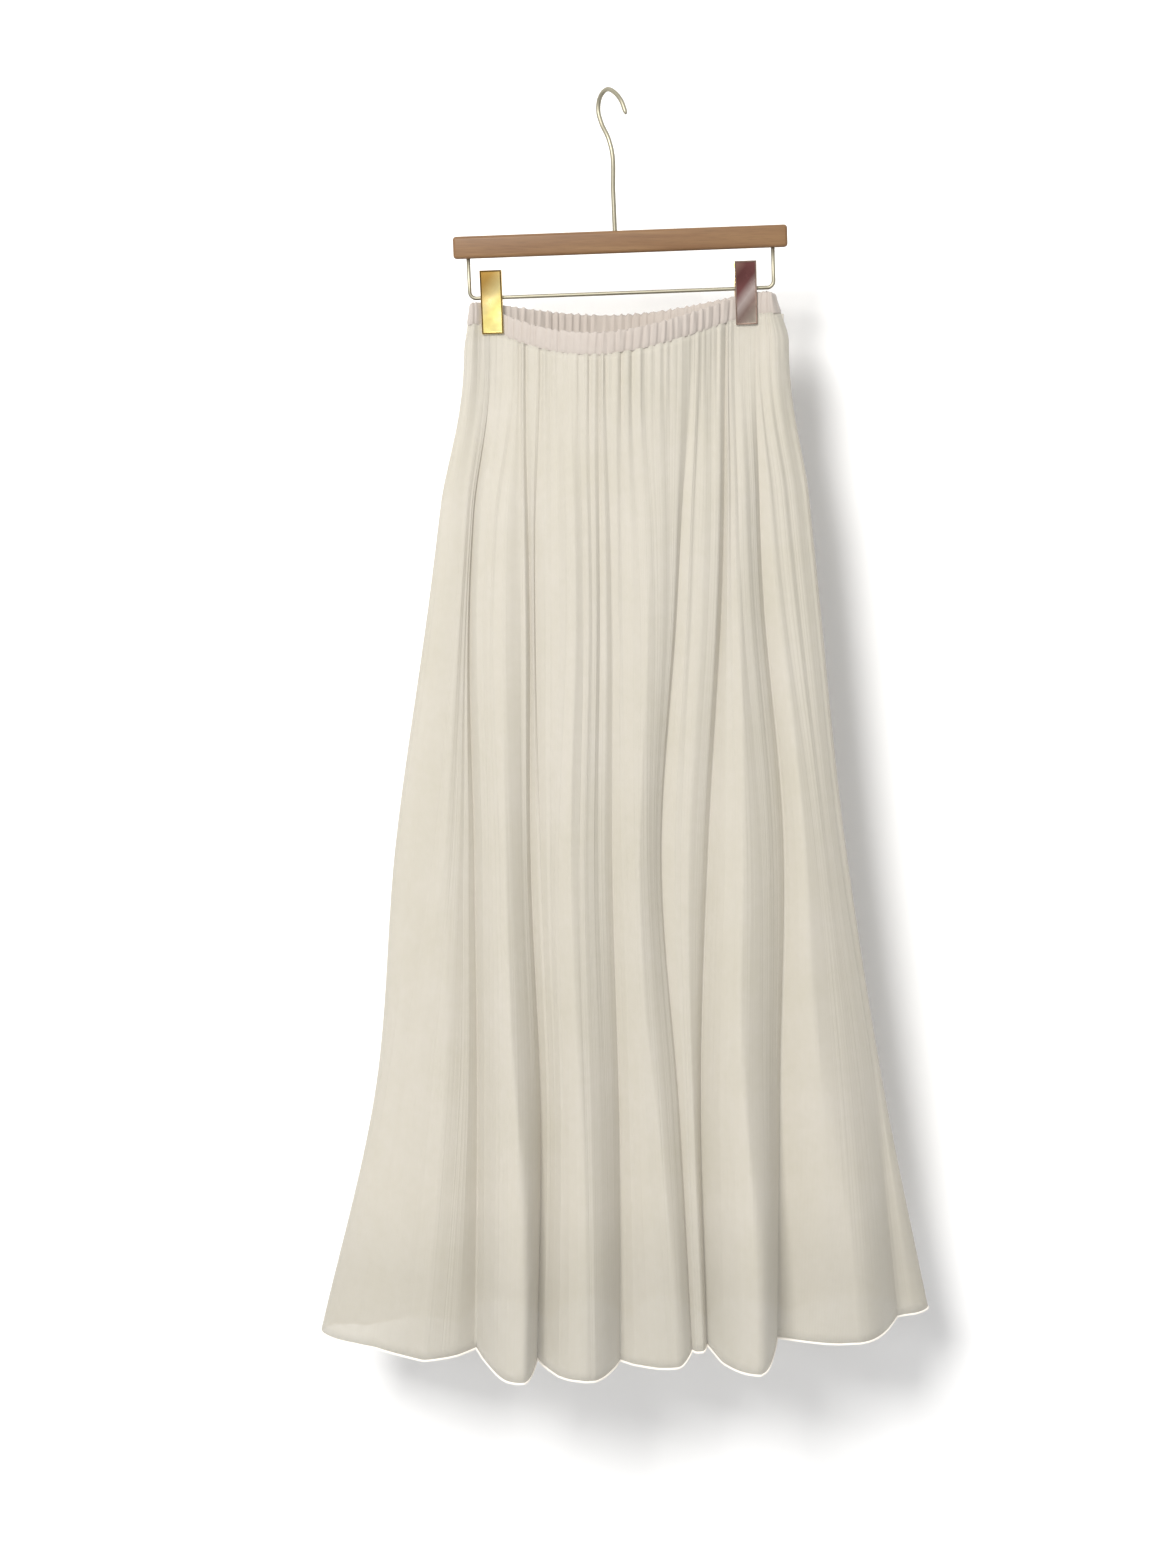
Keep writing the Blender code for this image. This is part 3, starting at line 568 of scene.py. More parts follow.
# A section through the casing, from its inner foot over the top to its outer foot. out: across the
# wall, in half walls, + outwards. down: a share of its height. gather: how much of the gathers it has.
CasingPoint = namedtuple("CasingPoint", "out down gather")
CASING_SECTION = tuple(CasingPoint(*row) for row in (
    (-0.75, 1.0, 0.5),
    (-1.0, 0.93, 0.8),
    (-1.15, 0.8, 1.0),
    (-1.2, 0.5, 1.0),
    (-1.1, 0.22, 1.0),
    (-0.9, 0.1, 0.9),
    (-0.5, 0.02, 0.7),
    (0.0, -0.01, 0.6),
    (0.5, 0.02, 0.7),
    (0.9, 0.1, 0.9),
    (1.1, 0.22, 1.0),
    (1.25, 0.4, 1.0),
    (1.25, 0.6, 1.0),
    (1.15, 0.8, 1.0),
    (0.95, 0.91, 0.8),
    (0.6, 0.97, 0.6),
    (0.45, 1.0, 0.8),
))


def casing_rows(side):
    """The casing's points: a closed section at each of many places along the waist."""
    count = CASING_GATHERS * CASING_COLUMNS
    shares = np.linspace(0, 1, count + 1)
    plan = spaced(waist_plan(side, BAND_PINCH), shares)
    normals = outward(plan, side)
    knots = np.linspace(0, 1, CASING_GATHERS + 1)
    phase = np.interp(shares, knots, random.uniform(-1.6, 1.6, CASING_GATHERS + 1))
    depth = np.interp(shares, knots, random.uniform(0.35, 1.25, CASING_GATHERS + 1))
    skew = np.interp(shares, knots, random.uniform(-0.9, 0.9, CASING_GATHERS + 1))
    second = np.interp(shares, knots, random.uniform(-2, 2, CASING_GATHERS + 1))
    free = 1 - PRESSED_GATHERS * near_jaws(plan[:, 0])
    ends = ease(np.minimum(shares, 1 - shares) * CASING_ENDS_FLATTEN)
    top = band_top(plan[:, 0], side)
    rows = []
    for point in CASING_SECTION:
        turns = 2 * np.pi * CASING_GATHERS * shares + phase + skew * (point.down - 0.5)
        wave = 0.7 * np.sin(turns) + 0.3 * np.sin(2.1 * turns + second + 2 * point.down)
        gather = CASING_GATHER_DEPTH * depth * wave * point.gather * np.sign(point.out + 0.01)
        half = BAND_WALL / 2 * point.out
        limit = BAND_WALL / 2 * np.clip(abs(point.out), 0, 1)
        pressed = np.clip(half, -limit, limit)
        off = free * (half + gather * ends) + (1 - free) * pressed
        edges = (1 - point.down) ** 3 + 0.7 * point.down**8
        scallop = CASING_SCALLOP * edges * wave * depth * free * ends
        high = top - point.down * BAND_HEIGHT + scallop
        place = plan + normals * off[:, None]
        shift = drawn_in(shares, (1 - point.down) * BAND_HEIGHT)
        place[:, 0] += shift
        high -= CASING_CORNER * (1 - point.down) * (np.abs(shift) / max(WAIST_DRAWN_IN.values())) ** 2
        rows.append(np.column_stack([place, high]))
    for row in rows:
        row[[0, -1], 1] = plan[[0, -1], 1] + (row[[0, -1], 1] - plan[[0, -1], 1]) * 0.5
        parted(row, side)
    return rows


def leaned(points):
    """Points of the upright hanger, where they are once it leans."""
    x, y, z = np.asarray(points, float).T
    c, s = math.cos(TILT), math.sin(TILT)
    return np.column_stack([x * c - z * s, y, x * s + z * c])


def new_piece(name, mesh, finish, *nodes, slot):
    """A finished piece that rides on the body and stands for CAD nodes."""
    obj = bpy.data.objects.new(name, mesh)
    bpy.context.scene.collection.objects.link(obj)
    mesh.materials.append(finish)
    mesh.shade_smooth()
    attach(obj, "root")
    if nodes:
        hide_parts(*nodes)
    return obj


def mesh_from(bm, name):
    mesh = bpy.data.meshes.new(name)
    bm.to_mesh(mesh)
    bm.free()
    return mesh


def grid_mesh(name, rows, flat, pleat=None, closed=False):
    """A grid whose points are moved onto rows of points, with its flat size as a UV map in metres."""
    rows = np.asarray(rows)
    down, across = rows.shape[0] - 1, rows.shape[1] - 1
    bm = bmesh.new()
    bm.loops.layers.uv.new("cut")
    bmesh.ops.create_grid(bm, x_segments=across, y_segments=down, size=1, calc_uvs=True)
    mesh = mesh_from(bm, name)
    places = np.empty(len(mesh.vertices) * 3)
    mesh.vertices.foreach_get("co", places)
    places = places.reshape(-1, 3)
    column = np.rint((places[:, 0] + 1) / 2 * across).astype(int)
    row = np.rint((1 - places[:, 1]) / 2 * down).astype(int)
    mesh.vertices.foreach_set("co", rows[row, column].ravel())
    layer = mesh.uv_layers["cut"].uv
    cut = np.empty(len(layer) * 2)
    layer.foreach_get("vector", cut)
    layer.foreach_set("vector", (cut.reshape(-1, 2) * flat).ravel())
    if pleat is not None:
        crease = mesh.attributes.new("pleat", "FLOAT", "POINT")
        crease.data.foreach_set("value", np.asarray(pleat)[row, column])
    if closed:
        bm = bmesh.new()
        bm.from_mesh(mesh)
        bmesh.ops.remove_doubles(bm, verts=bm.verts, dist=0.00001)
        bmesh.ops.holes_fill(bm, edges=[e for e in bm.edges if e.is_boundary], sides=0)
        bm.to_mesh(mesh)
        bm.free()
    mesh.update()
    return mesh


def face_outwards(mesh):
    """Turns a closed mesh's faces outwards."""
    bm = bmesh.new()
    bm.from_mesh(mesh)
    bmesh.ops.recalc_face_normals(bm, faces=bm.faces)
    bm.to_mesh(mesh)
    bm.free()
    return mesh


def thin_shell(obj, wall):
    solid = obj.modifiers.new("shell", "SOLIDIFY")
    solid.thickness = wall
    solid.offset = 0


def tube_mesh(name, points, radius, sides=16, step=None):
    """A round tube with closed ends along points, its UV map in metres along and around."""
    points = np.asarray(points, float)
    along = np.gradient(points, axis=0)
    along /= np.linalg.norm(along, axis=1)[:, None]
    run = np.concatenate([[0], np.cumsum(np.linalg.norm(np.diff(points, axis=0), axis=1))])
    aside = np.cross(along[0], (0.1, 1, 0.2))
    frames = []
    for direction in along:
        aside = aside - direction * aside.dot(direction)
        aside /= np.linalg.norm(aside)
        frames.append((aside, np.cross(direction, aside)))
    radii = np.broadcast_to(radius, len(points))
    turns = np.linspace(0, 2 * np.pi, sides + 1)
    rows = [
        [place + r * (math.cos(t) * a + math.sin(t) * b) for place, (a, b), r in zip(points, frames, radii)]
        for t in turns
    ]
    mesh = grid_mesh(name, rows, (run[-1], 2 * np.pi * radii.max()), closed=True)
    return face_outwards(mesh)


# Colours as they look on screen, 0 to 255
def tint(red, green, blue):
    """A screen colour as the shader's linear one."""
    values = np.array([red, green, blue]) / 255
    linear = np.where(values <= 0.04045, values / 12.92, ((values + 0.055) / 1.055) ** 2.4)
    return (*linear, 1)


def add(tree, kind, inputs=(), **settings):
    """A node with its settings and its inputs, each a value or another node's output."""
    made = tree.nodes.new(kind)
    for key, value in settings.items():
        setattr(made, key, value)
    for key, value in dict(inputs).items():
        if isinstance(value, bpy.types.NodeSocket):
            tree.links.new(value, made.inputs[key])
        else:
            made.inputs[key].default_value = value
    return made


def maths(tree, operation, first, second=0.0):
    return add(tree, "ShaderNodeMath", {0: first, 1: second}, operation=operation).outputs[0]


def blend(tree, share, low, high):
    """A colour between two, by a share."""
    mix = add(tree, "ShaderNodeMix", {"Factor": share}, data_type="RGBA")
    for socket, value in ((mix.inputs[6], low), (mix.inputs[7], high)):
        if isinstance(value, bpy.types.NodeSocket):
            tree.links.new(value, socket)
        else:
            socket.default_value = value
    return mix.outputs[2]


def spread(tree, value, low, high, from_low=0.0, from_high=1.0):
    """A value moved from one range to another, and kept in it."""
    inputs = {"Value": value, "From Min": from_low, "From Max": from_high, "To Min": low, "To Max": high}
    return add(tree, "ShaderNodeMapRange", inputs).outputs[0]


def new_group(name, inputs, outputs):
    group = bpy.data.node_groups.new(name, "ShaderNodeTree")
    for label, kind in inputs:
        group.interface.new_socket(label, in_out="INPUT", socket_type=kind)
    for label, kind in outputs:
        group.interface.new_socket(label, in_out="OUTPUT", socket_type=kind)
    return group, group.nodes.new("NodeGroupInput").outputs, group.nodes.new("NodeGroupOutput").inputs


def thread_weave():
    """Plain weave: warp and weft threads, and the tiny holes between them."""
    sockets = [("Cut", "NodeSocketVector"), ("Threads", "NodeSocketFloat")]
    tree, given, out = new_group(
        "thread weave", sockets, [("Height", "NodeSocketFloat"), ("Holes", "NodeSocketFloat")]
    )
    split = add(tree, "ShaderNodeSeparateXYZ", {0: given["Cut"]})
    turns = maths(tree, "MULTIPLY", given["Threads"], 2 * math.pi)
    warp = maths(tree, "SINE", maths(tree, "MULTIPLY", split.outputs[0], turns))
    weft = maths(tree, "SINE", maths(tree, "MULTIPLY", split.outputs[1], turns))
    both = maths(tree, "ADD", warp, weft)
    tree.links.new(spread(tree, both, 0, 1, -2, 2), out["Height"])
    tree.links.new(spread(tree, both, 1, 0, -2, -0.6), out["Holes"])
    return tree


def crepe_cloud():
    """The slight cloudiness of thin cloth, at two sizes."""
    tree, given, out = new_group(
        "crepe cloud",
        [("Place", "NodeSocketVector"), ("Size", "NodeSocketFloat")],
        [("Cloud", "NodeSocketFloat")],
    )
    large = add(tree, "ShaderNodeTexNoise", {"Vector": given["Place"], "Scale": given["Size"], "Detail": 3.0})
    finer = maths(tree, "MULTIPLY", given["Size"], 9.0)
    small = add(tree, "ShaderNodeTexNoise", {"Vector": given["Place"], "Scale": finer, "Detail": 2.0})
    both = maths(tree, "ADD", large.outputs[0], maths(tree, "MULTIPLY", small.outputs[0], 0.5))
    tree.links.new(spread(tree, both, 0, 1, 0.45, 1.05), out["Cloud"])
    return tree


def smudges():
    """Handling marks on polished metal: a little roughness here and there."""
    tree, given, out = new_group(
        "smudges",
        [("Place", "NodeSocketVector"), ("Least", "NodeSocketFloat"), ("Most", "NodeSocketFloat")],
        [("Roughness", "NodeSocketFloat"), ("Height", "NodeSocketFloat")],
    )
    noise = add(tree, "ShaderNodeTexNoise", {"Vector": given["Place"], "Scale": 90.0, "Detail": 4.0})
    mapped = add(tree, "ShaderNodeMapRange", {"Value": noise.outputs[0], "From Min": 0.35, "From Max": 0.7})
    tree.links.new(given["Least"], mapped.inputs["To Min"])
    tree.links.new(given["Most"], mapped.inputs["To Max"])
    tree.links.new(mapped.outputs[0], out["Roughness"])
    tree.links.new(noise.outputs[0], out["Height"])
    return tree


GROUPS = {"weave": thread_weave(), "cloud": crepe_cloud(), "smudges": smudges()}


def grouped(tree, name, inputs):
    """The outputs of one of the shared groups, placed in a material with its own values."""
    return add(tree, "ShaderNodeGroup", inputs, node_tree=GROUPS[name]).outputs


def new_finish(name, **constants):
    """A material, its node tree and its shader, with the values that are the same all over."""
    finish = bpy.data.materials.new(name)
    finish.use_nodes = True
    tree = finish.node_tree
    shader = tree.nodes["Principled BSDF"]
    for label, value in constants.items():
        shader.inputs[label.replace("_", " ")].default_value = value
    return finish, tree, shader.inputs


def bump(tree, height, distance, strength=1.0, **over):
    inputs = {"Height": height, "Distance": distance, "Strength": strength, **over}
    return add(tree, "ShaderNodeBump", inputs).outputs[0]


def cloth_finish(
    name,
    light,
    dark,
    opaque,
    threads,
    thread_depth,
    sheen,
    crease=None,
    unlined=0,
    streak_scale=(60, 20, 1),
    streak_depth=0.0002,
):
    """Woven cloth, with a painted glow in its own colour that stands in for light coming through it. crease:
    how much painted shade darkens a pleat's valley.
    unlined: how much painted shade darkens the cloth that hangs below the lining, where no lining sends light
    back through it. streak: fine pressed lines."""
    finish, tree, shader = new_finish(
        name,
        Roughness=0.72,
        Sheen_Weight=sheen,
        Sheen_Roughness=0.45,
        Specular_IOR_Level=0.25,
        Emission_Strength=PAINTED_GLOW,
    )
    coordinates = tree.nodes.new("ShaderNodeTexCoord").outputs
    cut = tree.nodes.new("ShaderNodeUVMap")
    cut.uv_map = "cut"
    weave = grouped(tree, "weave", {"Cut": cut.outputs[0], "Threads": threads})
    cloud = grouped(tree, "cloud", {"Place": coordinates["Object"], "Size": 14.0})
    colour = blend(tree, cloud["Cloud"], dark, light)
    if crease:
        # Painted shade: a pleat's valley is darkened by how deep it lies, in place of the shade that falls
        # into it
        pleat = add(tree, "ShaderNodeAttribute", attribute_name="pleat").outputs["Fac"]
        valley = spread(tree, pleat, crease, 0, -1, 0.1)
        height = add(tree, "ShaderNodeSeparateXYZ", {0: coordinates["Object"]}).outputs[2]
        # Painted shade: below the lining's hem the colour darkens by height, in place of the light that no
        # lining sends back through the cloth
        below = spread(tree, height, unlined, 0, UNLINED_SHADE_FROM, UNLINED_SHADE_TO)
        shade = tuple(0.72 * value for value in dark[:3]) + (1,)
        colour = blend(tree, maths(tree, "ADD", valley, below), colour, shade)
    tree.links.new(colour, shader["Base Color"])
    # Painted glow: the cloth's colour is also given off as light, for the light that comes through it
    tree.links.new(colour, shader["Emission Color"])
    if opaque < 1:
        seen = maths(tree, "MULTIPLY", weave["Holes"], -0.12)
        tree.links.new(maths(tree, "ADD", seen, opaque), shader["Alpha"])
    streaks = add(tree, "ShaderNodeMapping", {"Vector": cut.outputs[0], "Scale": streak_scale})
    streak = add(tree, "ShaderNodeTexNoise", {"Vector": streaks.outputs[0], "Scale": 1.0, "Detail": 2.0})
    pressed = bump(tree, streak.outputs[0], streak_depth, 1.0)
    tree.links.new(bump(tree, weave["Height"], thread_depth, 0.5, Normal=pressed), shader["Normal"])
    return finish


def wood_finish():
    """Pale wood with fine grain along the bar."""
    finish, tree, shader = new_finish("pale wood", Specular_IOR_Level=0.4)
    coordinates = tree.nodes.new("ShaderNodeTexCoord").outputs
    along = add(tree, "ShaderNodeMapping", {"Vector": coordinates["Object"], "Scale": (6, 60, 110)})
    wavy = {"Vector": along.outputs[0], "Scale": 1.6, "Detail": 6.0, "Roughness": 0.6}
    grain = add(tree, "ShaderNodeTexNoise", wavy).outputs[0]
    pores = add(tree, "ShaderNodeMapping", {"Vector": coordinates["Object"], "Scale": (60, 700, 1400)})
    dotted = {"Vector": pores.outputs[0], "Scale": 1.0, "Detail": 2.0}
    fine = add(tree, "ShaderNodeTexNoise", dotted).outputs[0]
    body = blend(tree, spread(tree, grain, 0, 1, 0.35, 0.65), tint(112, 80, 51), tint(127, 96, 64))
    streaked = blend(tree, spread(tree, fine, 0.35, 0, 0.3, 0.5), body, tint(90, 64, 40))
    tree.links.new(streaked, shader["Base Color"])
    tree.links.new(spread(tree, grain, 0.42, 0.6), shader["Roughness"])
    tree.links.new(bump(tree, fine, 0.00008, 0.5), shader["Normal"])
    return finish


def metal_finish(name, low, high, least, most):
    """Polished plated metal with a little unevenness of tone and roughness."""
    finish, tree, shader = new_finish(name, Metallic=1.0)
    coordinates = tree.nodes.new("ShaderNodeTexCoord").outputs
    marks = grouped(tree, "smudges", {"Place": coordinates["Object"], "Least": least, "Most": most})
    tree.links.new(blend(tree, marks["Height"], low, high), shader["Base Color"])
    tree.links.new(marks["Roughness"], shader["Roughness"])
    tree.links.new(bump(tree, marks["Height"], 0.00003, 0.4), shader["Normal"])
    return finish


def painted_plate_finish(name, place, painted_tones):
    """A clip's plated face, whose tone changes from its top to its foot and across it: painted reflections
    and shade, set by where a point lies on the face.
    """
    finish, tree, shader = new_finish(name, Metallic=1.0)
    coordinates = tree.nodes.new("ShaderNodeTexCoord").outputs
    split = add(tree, "ShaderNodeSeparateXYZ", {0: coordinates["Object"]}).outputs
    down = spread(tree, split[2], 0.68, 0, CLIP_FOOT, CLIP_TOP)
    middle = across_skirt[place]
    across = spread(tree, split[0], 0, 0.32, middle - CLIP_HALF, middle + CLIP_HALF)
    ramp = tree.nodes.new("ShaderNodeValToRGB")
    stops = ramp.color_ramp.elements
    while len(stops) < len(painted_tones):
        stops.new(0.5)
    for stop, (position, colour) in zip(stops, painted_tones):
        stop.position = position
        stop.color = colour
    tree.links.new(maths(tree, "ADD", down, across), ramp.inputs[0])
    marks = grouped(tree, "smudges", {"Place": coordinates["Object"], "Least": 0.2, "Most": 0.3})
    tree.links.new(ramp.outputs[0], shader["Base Color"])
    tree.links.new(marks["Roughness"], shader["Roughness"])
    return finish


CREAM = tint(190, 185, 175)
CREAM_DEEP = tint(184, 179, 166)
finishes = {
    "pleated": cloth_finish(
        "sheer pleated cloth",
        CREAM,
        CREAM_DEEP,
        0.68,
        1900,
        0.00006,
        0.12,
        # painted shade in the pleats' valleys, and below the lining's hem
        crease=0.06,
        unlined=0.3,
        streak_scale=(260, 2.5, 1),
        streak_depth=0.0009,
    ),
    "lining": cloth_finish(
        "plain lining cloth", tint(190, 185, 175), tint(185, 179, 169), 1, 1500, 0.00004, 0.1
    ),
    "casing": cloth_finish(
        "gathered casing", tint(169, 161, 154), tint(162, 153, 145), 1, 1700, 0.00006, 0.2
    ),
    "hem": cloth_finish("rolled hem thread", tint(228, 224, 217), tint(222, 217, 209), 1, 1200, 0.0001, 0.2),
    "wood": wood_finish(),
    "wire": metal_finish("pale gold wire", tint(142, 137, 119), tint(160, 155, 138), 0.42, 0.55),
    "clip_back": metal_finish("gold plate", tint(214, 176, 104), tint(232, 200, 132), 0.14, 0.3),
    # Painted shade: the clips' raised edges are given a dark tone, in place of the shade along them
    "rim_left": metal_finish("gold plate, edge in painted shade", tint(72, 52, 24), tint(92, 70, 36), 0.4, 0.55),
    "rim_right": metal_finish("gold plate, shaded edge", tint(120, 98, 88), tint(150, 130, 118), 0.25, 0.4),
    # Painted reflections on the lit clip's face: darker gold at its top and left, bright towards its foot and
    # right
    "clip_left": painted_plate_finish(
        "gold plate, lit",
        "left",
        (
            (0.0, tint(196, 148, 70)),
            (0.24, tint(214, 170, 92)),
            (0.5, tint(250, 228, 160)),
            (0.66, tint(246, 226, 140)),
            (1.0, tint(250, 238, 160)),
        ),
    ),
    # Painted reflections and shade on the shaded clip's face: dark tones above, a pale streak and a grey foot
    "clip_right": painted_plate_finish(
        "gold plate, in shade",
        "right",
        (
            (0.0, tint(158, 122, 112)),
            (0.16, tint(120, 76, 74)),
            (0.34, tint(126, 82, 80)),
            (0.5, tint(188, 172, 166)),
            (0.64, tint(140, 118, 110)),
            (1.0, tint(172, 164, 150)),
        ),
    ),
}

# Cut sizes of the cloth, laid flat: width at the foot and length, and for a flared piece its width at
# the top. The casing's is folded double over its elastic.
PANEL_CUT = (0.97, 0.985)
LINING_CUT = (0.50, 0.86)
CASING_CUT = (0.40, 0.0215)


def make_panel(place, side):
    """A pleated panel, with its rolled hem."""
    waist = np.linspace(0, WAIST_RUN, WAIST_ROWS, endpoint=False)
    levels = np.concatenate([waist, np.linspace(WAIST_RUN, 1, SKIRT_ROWS)])
    creases = Creases(place)
    rows = [skirt_row(side, place, share, creases) for share in levels]
    # how deep each point lies in a valley, which sets the cloth's painted valley shade
    pleats = [np.clip(creases.relief(share) / PAINTED_SHADE_DEPTH, -1, 1) for share in levels]
    mesh = grid_mesh(f"pleated_{place}", rows, PANEL_CUT, pleats)
    panel = new_piece(mesh.name, mesh, finishes["pleated"], f"skirt_{place}", slot="pleated_cloth")
    thin_shell(panel, CLOTH_SHELL)
    edge = spaced(rows[-1], np.linspace(0, 1, HEM_POINTS))
    hem_mesh = tube_mesh(f"rolled_hem_{place}", edge, HEM_CORD, sides=8)
    hem = new_piece(hem_mesh.name, hem_mesh, finishes["hem"], slot="pleated_cloth")
    return rows


def make_side_seam(name, row_ends):
    """The seam that joins the panels, a slim ridge down one side."""
    mesh = tube_mesh(name, row_ends, SEAM_CORD, sides=8)
    return new_piece(name, mesh, finishes["pleated"], slot="pleated_cloth")


def make_lining(place, side):
    waist = np.linspace(0, LINING_WAIST_RUN, LINING_WAIST_ROWS, endpoint=False)
    levels = np.concatenate([waist, np.linspace(LINING_WAIST_RUN, LINING_HEM, LINING_ROWS)])
    rows = [lining_row(side, share) for share in levels]
    mesh = grid_mesh(f"plain_lining_{place}", rows, LINING_CUT)
    lining = new_piece(mesh.name, mesh, finishes["lining"], f"lining_{place}", slot="lining_cloth")
    thin_shell(lining, LINING_SHELL)


def make_casing(place, side):
    rows = casing_rows(side)
    mesh = grid_mesh(f"gathered_casing_{place}", rows + rows[:1], CASING_CUT, closed=True)
    face_outwards(mesh)
    casing = new_piece(mesh.name, mesh, finishes["casing"], f"waistband_{place}", slot="waist_casing")


def make_bar():
    """The wooden bar, its long edges and its ends rounded."""
    bm = bmesh.new()
    bmesh.ops.create_cube(bm, size=1)
    bmesh.ops.scale(bm, vec=(BAR_LENGTH, BAR_DEPTH, BAR_HEIGHT), verts=bm.verts)
    rounded = {"offset": BAR_ROUNDING, "affect": "EDGES", "segments": 6, "profile": 0.5, "material": -1}
    bmesh.ops.bevel(bm, geom=bm.edges[:], **rounded)
    place = Vector((BAR_CENTRE_X, 0, BAR_TOP - BAR_HEIGHT / 2))
    bmesh.ops.transform(
        bm, matrix=Matrix.Rotation(-TILT, 4, "Y") @ Matrix.Translation(place), verts=bm.verts
    )
    mesh = mesh_from(bm, "wooden_bar")
    bar = new_piece("wooden_bar", mesh, finishes["wood"], "hanger_bar", slot="bar_wood")
    mesh.set_sharp_from_angle(angle=math.radians(40))
    return bar


def make_hook():
    line = spaced(smooth_line(HOOK_LINE, per_gap=16), np.linspace(0, 1, 150)) * MM
    radii = np.full(len(line), HOOK_WIRE)
    radii[-4:] = HOOK_WIRE * np.array([0.97, 0.88, 0.7, 0.4])
    mesh = tube_mesh("wire_hook", leaned(line), radii, sides=20)
    return new_piece("wire_hook", mesh, finishes["wire"], "hanger_hook", slot="hook_wire")


def make_frame():
    """The wire under the bar: down, round a bend, along the rod, round a bend and up."""
    top = BAR_TOP - BAR_HEIGHT + WIRE_SEAT
    points = []
    for end in (-1, 1):
        post = BAR_CENTRE_X + end * FRAME_WIDTH / 2
        corner = [
            (
                post - end * FRAME_BEND * (1 - math.cos(angle)),
                0,
                ROD_HEIGHT + FRAME_BEND * (1 - math.sin(angle)),
            )
            for angle in np.linspace(0, math.pi / 2, BEND_POINTS)
        ]
        leg = [(post, 0, top)] + corner
        points += leg if end < 0 else leg[::-1]
    mesh = tube_mesh("wire_frame", leaned(points), FRAME_WIRE, sides=20)
    return new_piece("wire_frame", mesh, finishes["wire"], "hanger_frame", slot="hook_wire")


def make_jaw(place, x, which, side):
    """One plate of a clip, with a slim raised edge: straight where it grips, leaning out above."""
    bm = bmesh.new()
    bmesh.ops.create_grid(bm, x_segments=2, y_segments=24, size=1)
    for vert in bm.verts:
        height = CLIP_FOOT + (CLIP_TOP - CLIP_FOOT) * (vert.co.y + 1) / 2
        flare = JAW_FLARE * ease((height - ROD_HEIGHT) / (CLIP_TOP - ROD_HEIGHT))
        vert.co = (vert.co.x * CLIP_WIDTH / 2, side * (JAW_REACH + flare), height)
    bmesh.ops.recalc_face_normals(bm, faces=bm.faces)
    if bm.faces[0].normal.y * side < 0:
        bmesh.ops.reverse_faces(bm, faces=bm.faces)
    bmesh.ops.solidify(bm, geom=bm.faces[:], thickness=-JAW_PLATE)
    bmesh.ops.recalc_face_normals(bm, faces=bm.faces)
    outer = [f for f in bm.faces if f.normal.y * side > 0.7]
    inset = {"thickness": JAW_RIM, "depth": -JAW_RECESS, "use_even_offset": True}
    for face in bmesh.ops.inset_region(bm, faces=outer, **inset)["faces"]:
        face.material_index = 1
    bmesh.ops.recalc_face_normals(bm, faces=bm.faces)
    shift = Matrix.Rotation(-TILT, 4, "Y") @ Matrix.Translation((x, 0, 0))
    bmesh.ops.transform(bm, matrix=shift, verts=bm.verts)
    name = f"{place}_clip_{which}_plate"
    mesh = mesh_from(bm, name)
    finish = finishes[f"clip_{place}"] if which == "front" else finishes["clip_back"]
    jaw = new_piece(name, mesh, finish, f"clip_{place}_{which}_jaw", slot="clip_metal")
    # the raised edge takes its finish of painted shade
    mesh.materials.append(finishes[f"rim_{place}"])
    edges = jaw.modifiers.new("edges", "BEVEL")
    edges.width = 0.35 * MM
    edges.segments = 3
    return jaw


def make_spring(place, x):
    """The clip's spring, wound round the rod between its plates."""
    wire = SLEEVE_WALL / 2
    radius = FRAME_WIRE + GAP + wire
    turns = np.linspace(0, 2 * np.pi * SPRING_TURNS, 20 * SPRING_TURNS)
    along = np.linspace(-SLEEVE_LENGTH / 2, SLEEVE_LENGTH / 2, len(turns)) * 0.9
    points = np.column_stack([x + along, radius * np.cos(turns), ROD_HEIGHT + radius * np.sin(turns)])
    name = f"{place}_clip_spring"
    mesh = tube_mesh(name, leaned(points), wire, sides=10)
    return new_piece(name, mesh, finishes["wire"], f"clip_{place}_sleeve", slot="clip_metal")


def make_stage():
    """A pale floor, and a wall behind that shows only from in front."""
    finish, tree, shader = new_finish("pale paper", Roughness=0.9, Specular_IOR_Level=0.1)
    shader["Base Color"].default_value = tint(254, 254, 254)
    clear = tree.nodes.new("ShaderNodeBsdfTransparent")
    behind = tree.nodes.new("ShaderNodeNewGeometry").outputs["Backfacing"]
    mixed = tree.nodes.new("ShaderNodeMixShader")
    tree.links.new(behind, mixed.inputs[0])
    tree.links.new(tree.nodes["Principled BSDF"].outputs[0], mixed.inputs[1])
    tree.links.new(clear.outputs[0], mixed.inputs[2])
    tree.links.new(mixed.outputs[0], tree.nodes["Material Output"].inputs[0])
    for name, size, place, turn in (
        ("floor", 4.0, (0, 0, FLOOR_HEIGHT), 0),
        ("backdrop", 3.0, (0, WALL_DEPTH, -0.6), math.pi / 2),
    ):
        bm = bmesh.new()
        bmesh.ops.create_grid(bm, x_segments=1, y_segments=1, size=size)
        matrix = Matrix.Translation(place) @ Matrix.Rotation(turn, 4, "X")
        bmesh.ops.transform(bm, matrix=matrix, verts=bm.verts)
        mesh = mesh_from(bm, name)
        mesh.materials.append(finish)
        obj = bpy.data.objects.new(name, mesh)
        bpy.context.scene.collection.objects.link(obj)


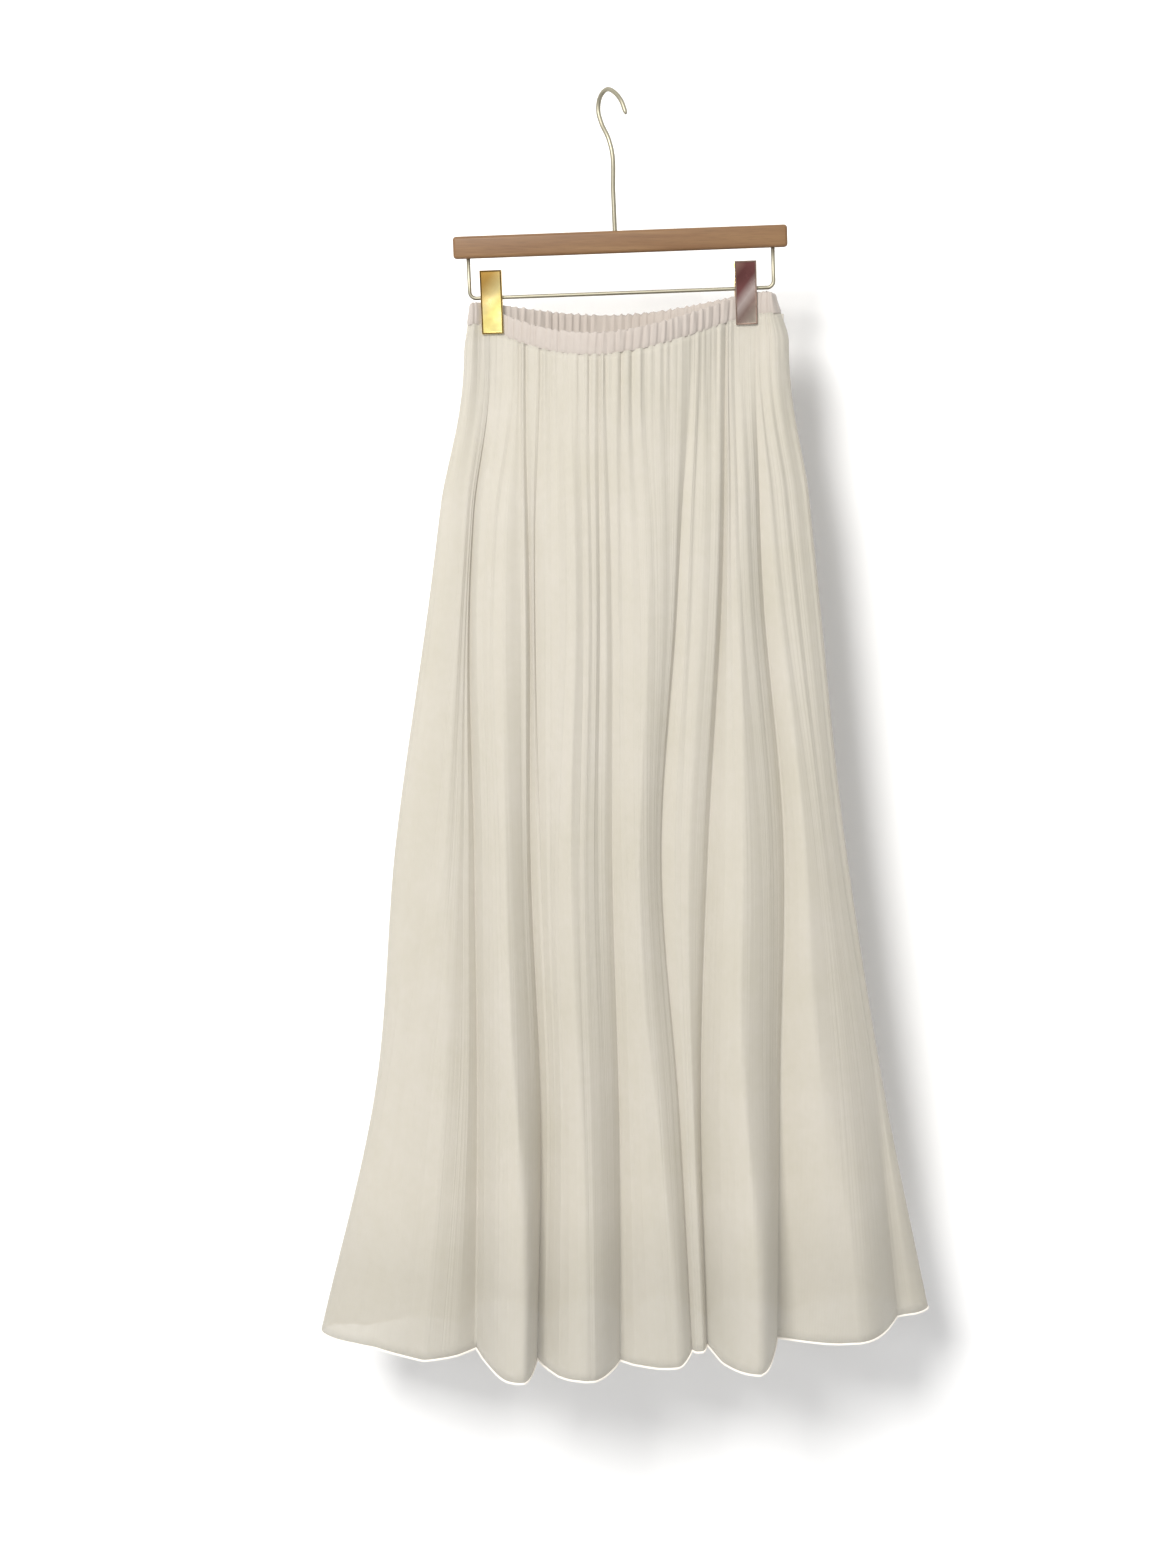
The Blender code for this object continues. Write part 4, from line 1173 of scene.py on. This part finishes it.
def make_light():
    lamp = bpy.data.lights.new("window", "AREA")
    lamp.shape = "SQUARE"
    lamp.size = LAMP_SIZE
    lamp.energy = LAMP_POWER
    lamp.color = (1, 0.99, 0.97)
    holder = bpy.data.objects.new("window", lamp)
    holder.location = LAMP_PLACE
    aim = Vector(LAMP_AIM) - Vector(LAMP_PLACE)
    holder.rotation_euler = aim.to_track_quat("-Z", "Y").to_euler()
    bpy.context.scene.collection.objects.link(holder)
    world = bpy.data.worlds.new("studio")
    bpy.context.scene.world = world
    world.use_nodes = True
    tree = world.node_tree
    direction = tree.nodes.new("ShaderNodeTexCoord").outputs["Generated"]
    up = add(tree, "ShaderNodeSeparateXYZ", {0: direction}).outputs[2]
    light = blend(tree, spread(tree, up, 0, 1, -0.6, 0.7), (0.32, 0.32, 0.325, 1), (0.5, 0.503, 0.512, 1))
    path = tree.nodes.new("ShaderNodeLightPath").outputs
    gloss = blend(tree, spread(tree, up, 0, 1, -0.5, 0.5), (0.5, 0.5, 0.5, 1), (1.12, 1.12, 1.12, 1))
    light = blend(tree, path["Is Glossy Ray"], light, gloss)
    seen = blend(tree, path["Is Camera Ray"], light, (0.98, 0.98, 0.98, 1))
    tree.links.new(seen, tree.nodes["Background"].inputs[0])


def make_camera():
    camera = bpy.data.cameras.new("camera")
    camera.lens = LENS
    camera.sensor_width = 36
    holder = bpy.data.objects.new("camera", camera)
    holder.location = CAMERA_PLACE
    holder.rotation_euler = (CAMERA_PITCH, 0, 0)
    bpy.context.scene.collection.objects.link(holder)
    bpy.context.scene.camera = holder
    bpy.context.scene.view_settings.view_transform = "Standard"


panels = {place: make_panel(place, side) for place, side in SIDES.items()}
for end, name in ((0, "left_side_seam"), (-1, "right_side_seam")):
    ends = (np.array([r[end] for r in panels["front"]]) + np.array([r[end] for r in panels["back"]])) / 2
    ends[:, 0] -= SEAM_INSIDE * (1 if end else -1)
    make_side_seam(name, ends)
for place, side in SIDES.items():
    make_lining(place, side)
    make_casing(place, side)
make_bar()
make_hook()
make_frame()
for place, x in CLIP_PLACES.items():
    for which, side in SIDES.items():
        make_jaw(place, x, which, side)
    make_spring(place, x)
make_stage()
make_light()
make_camera()
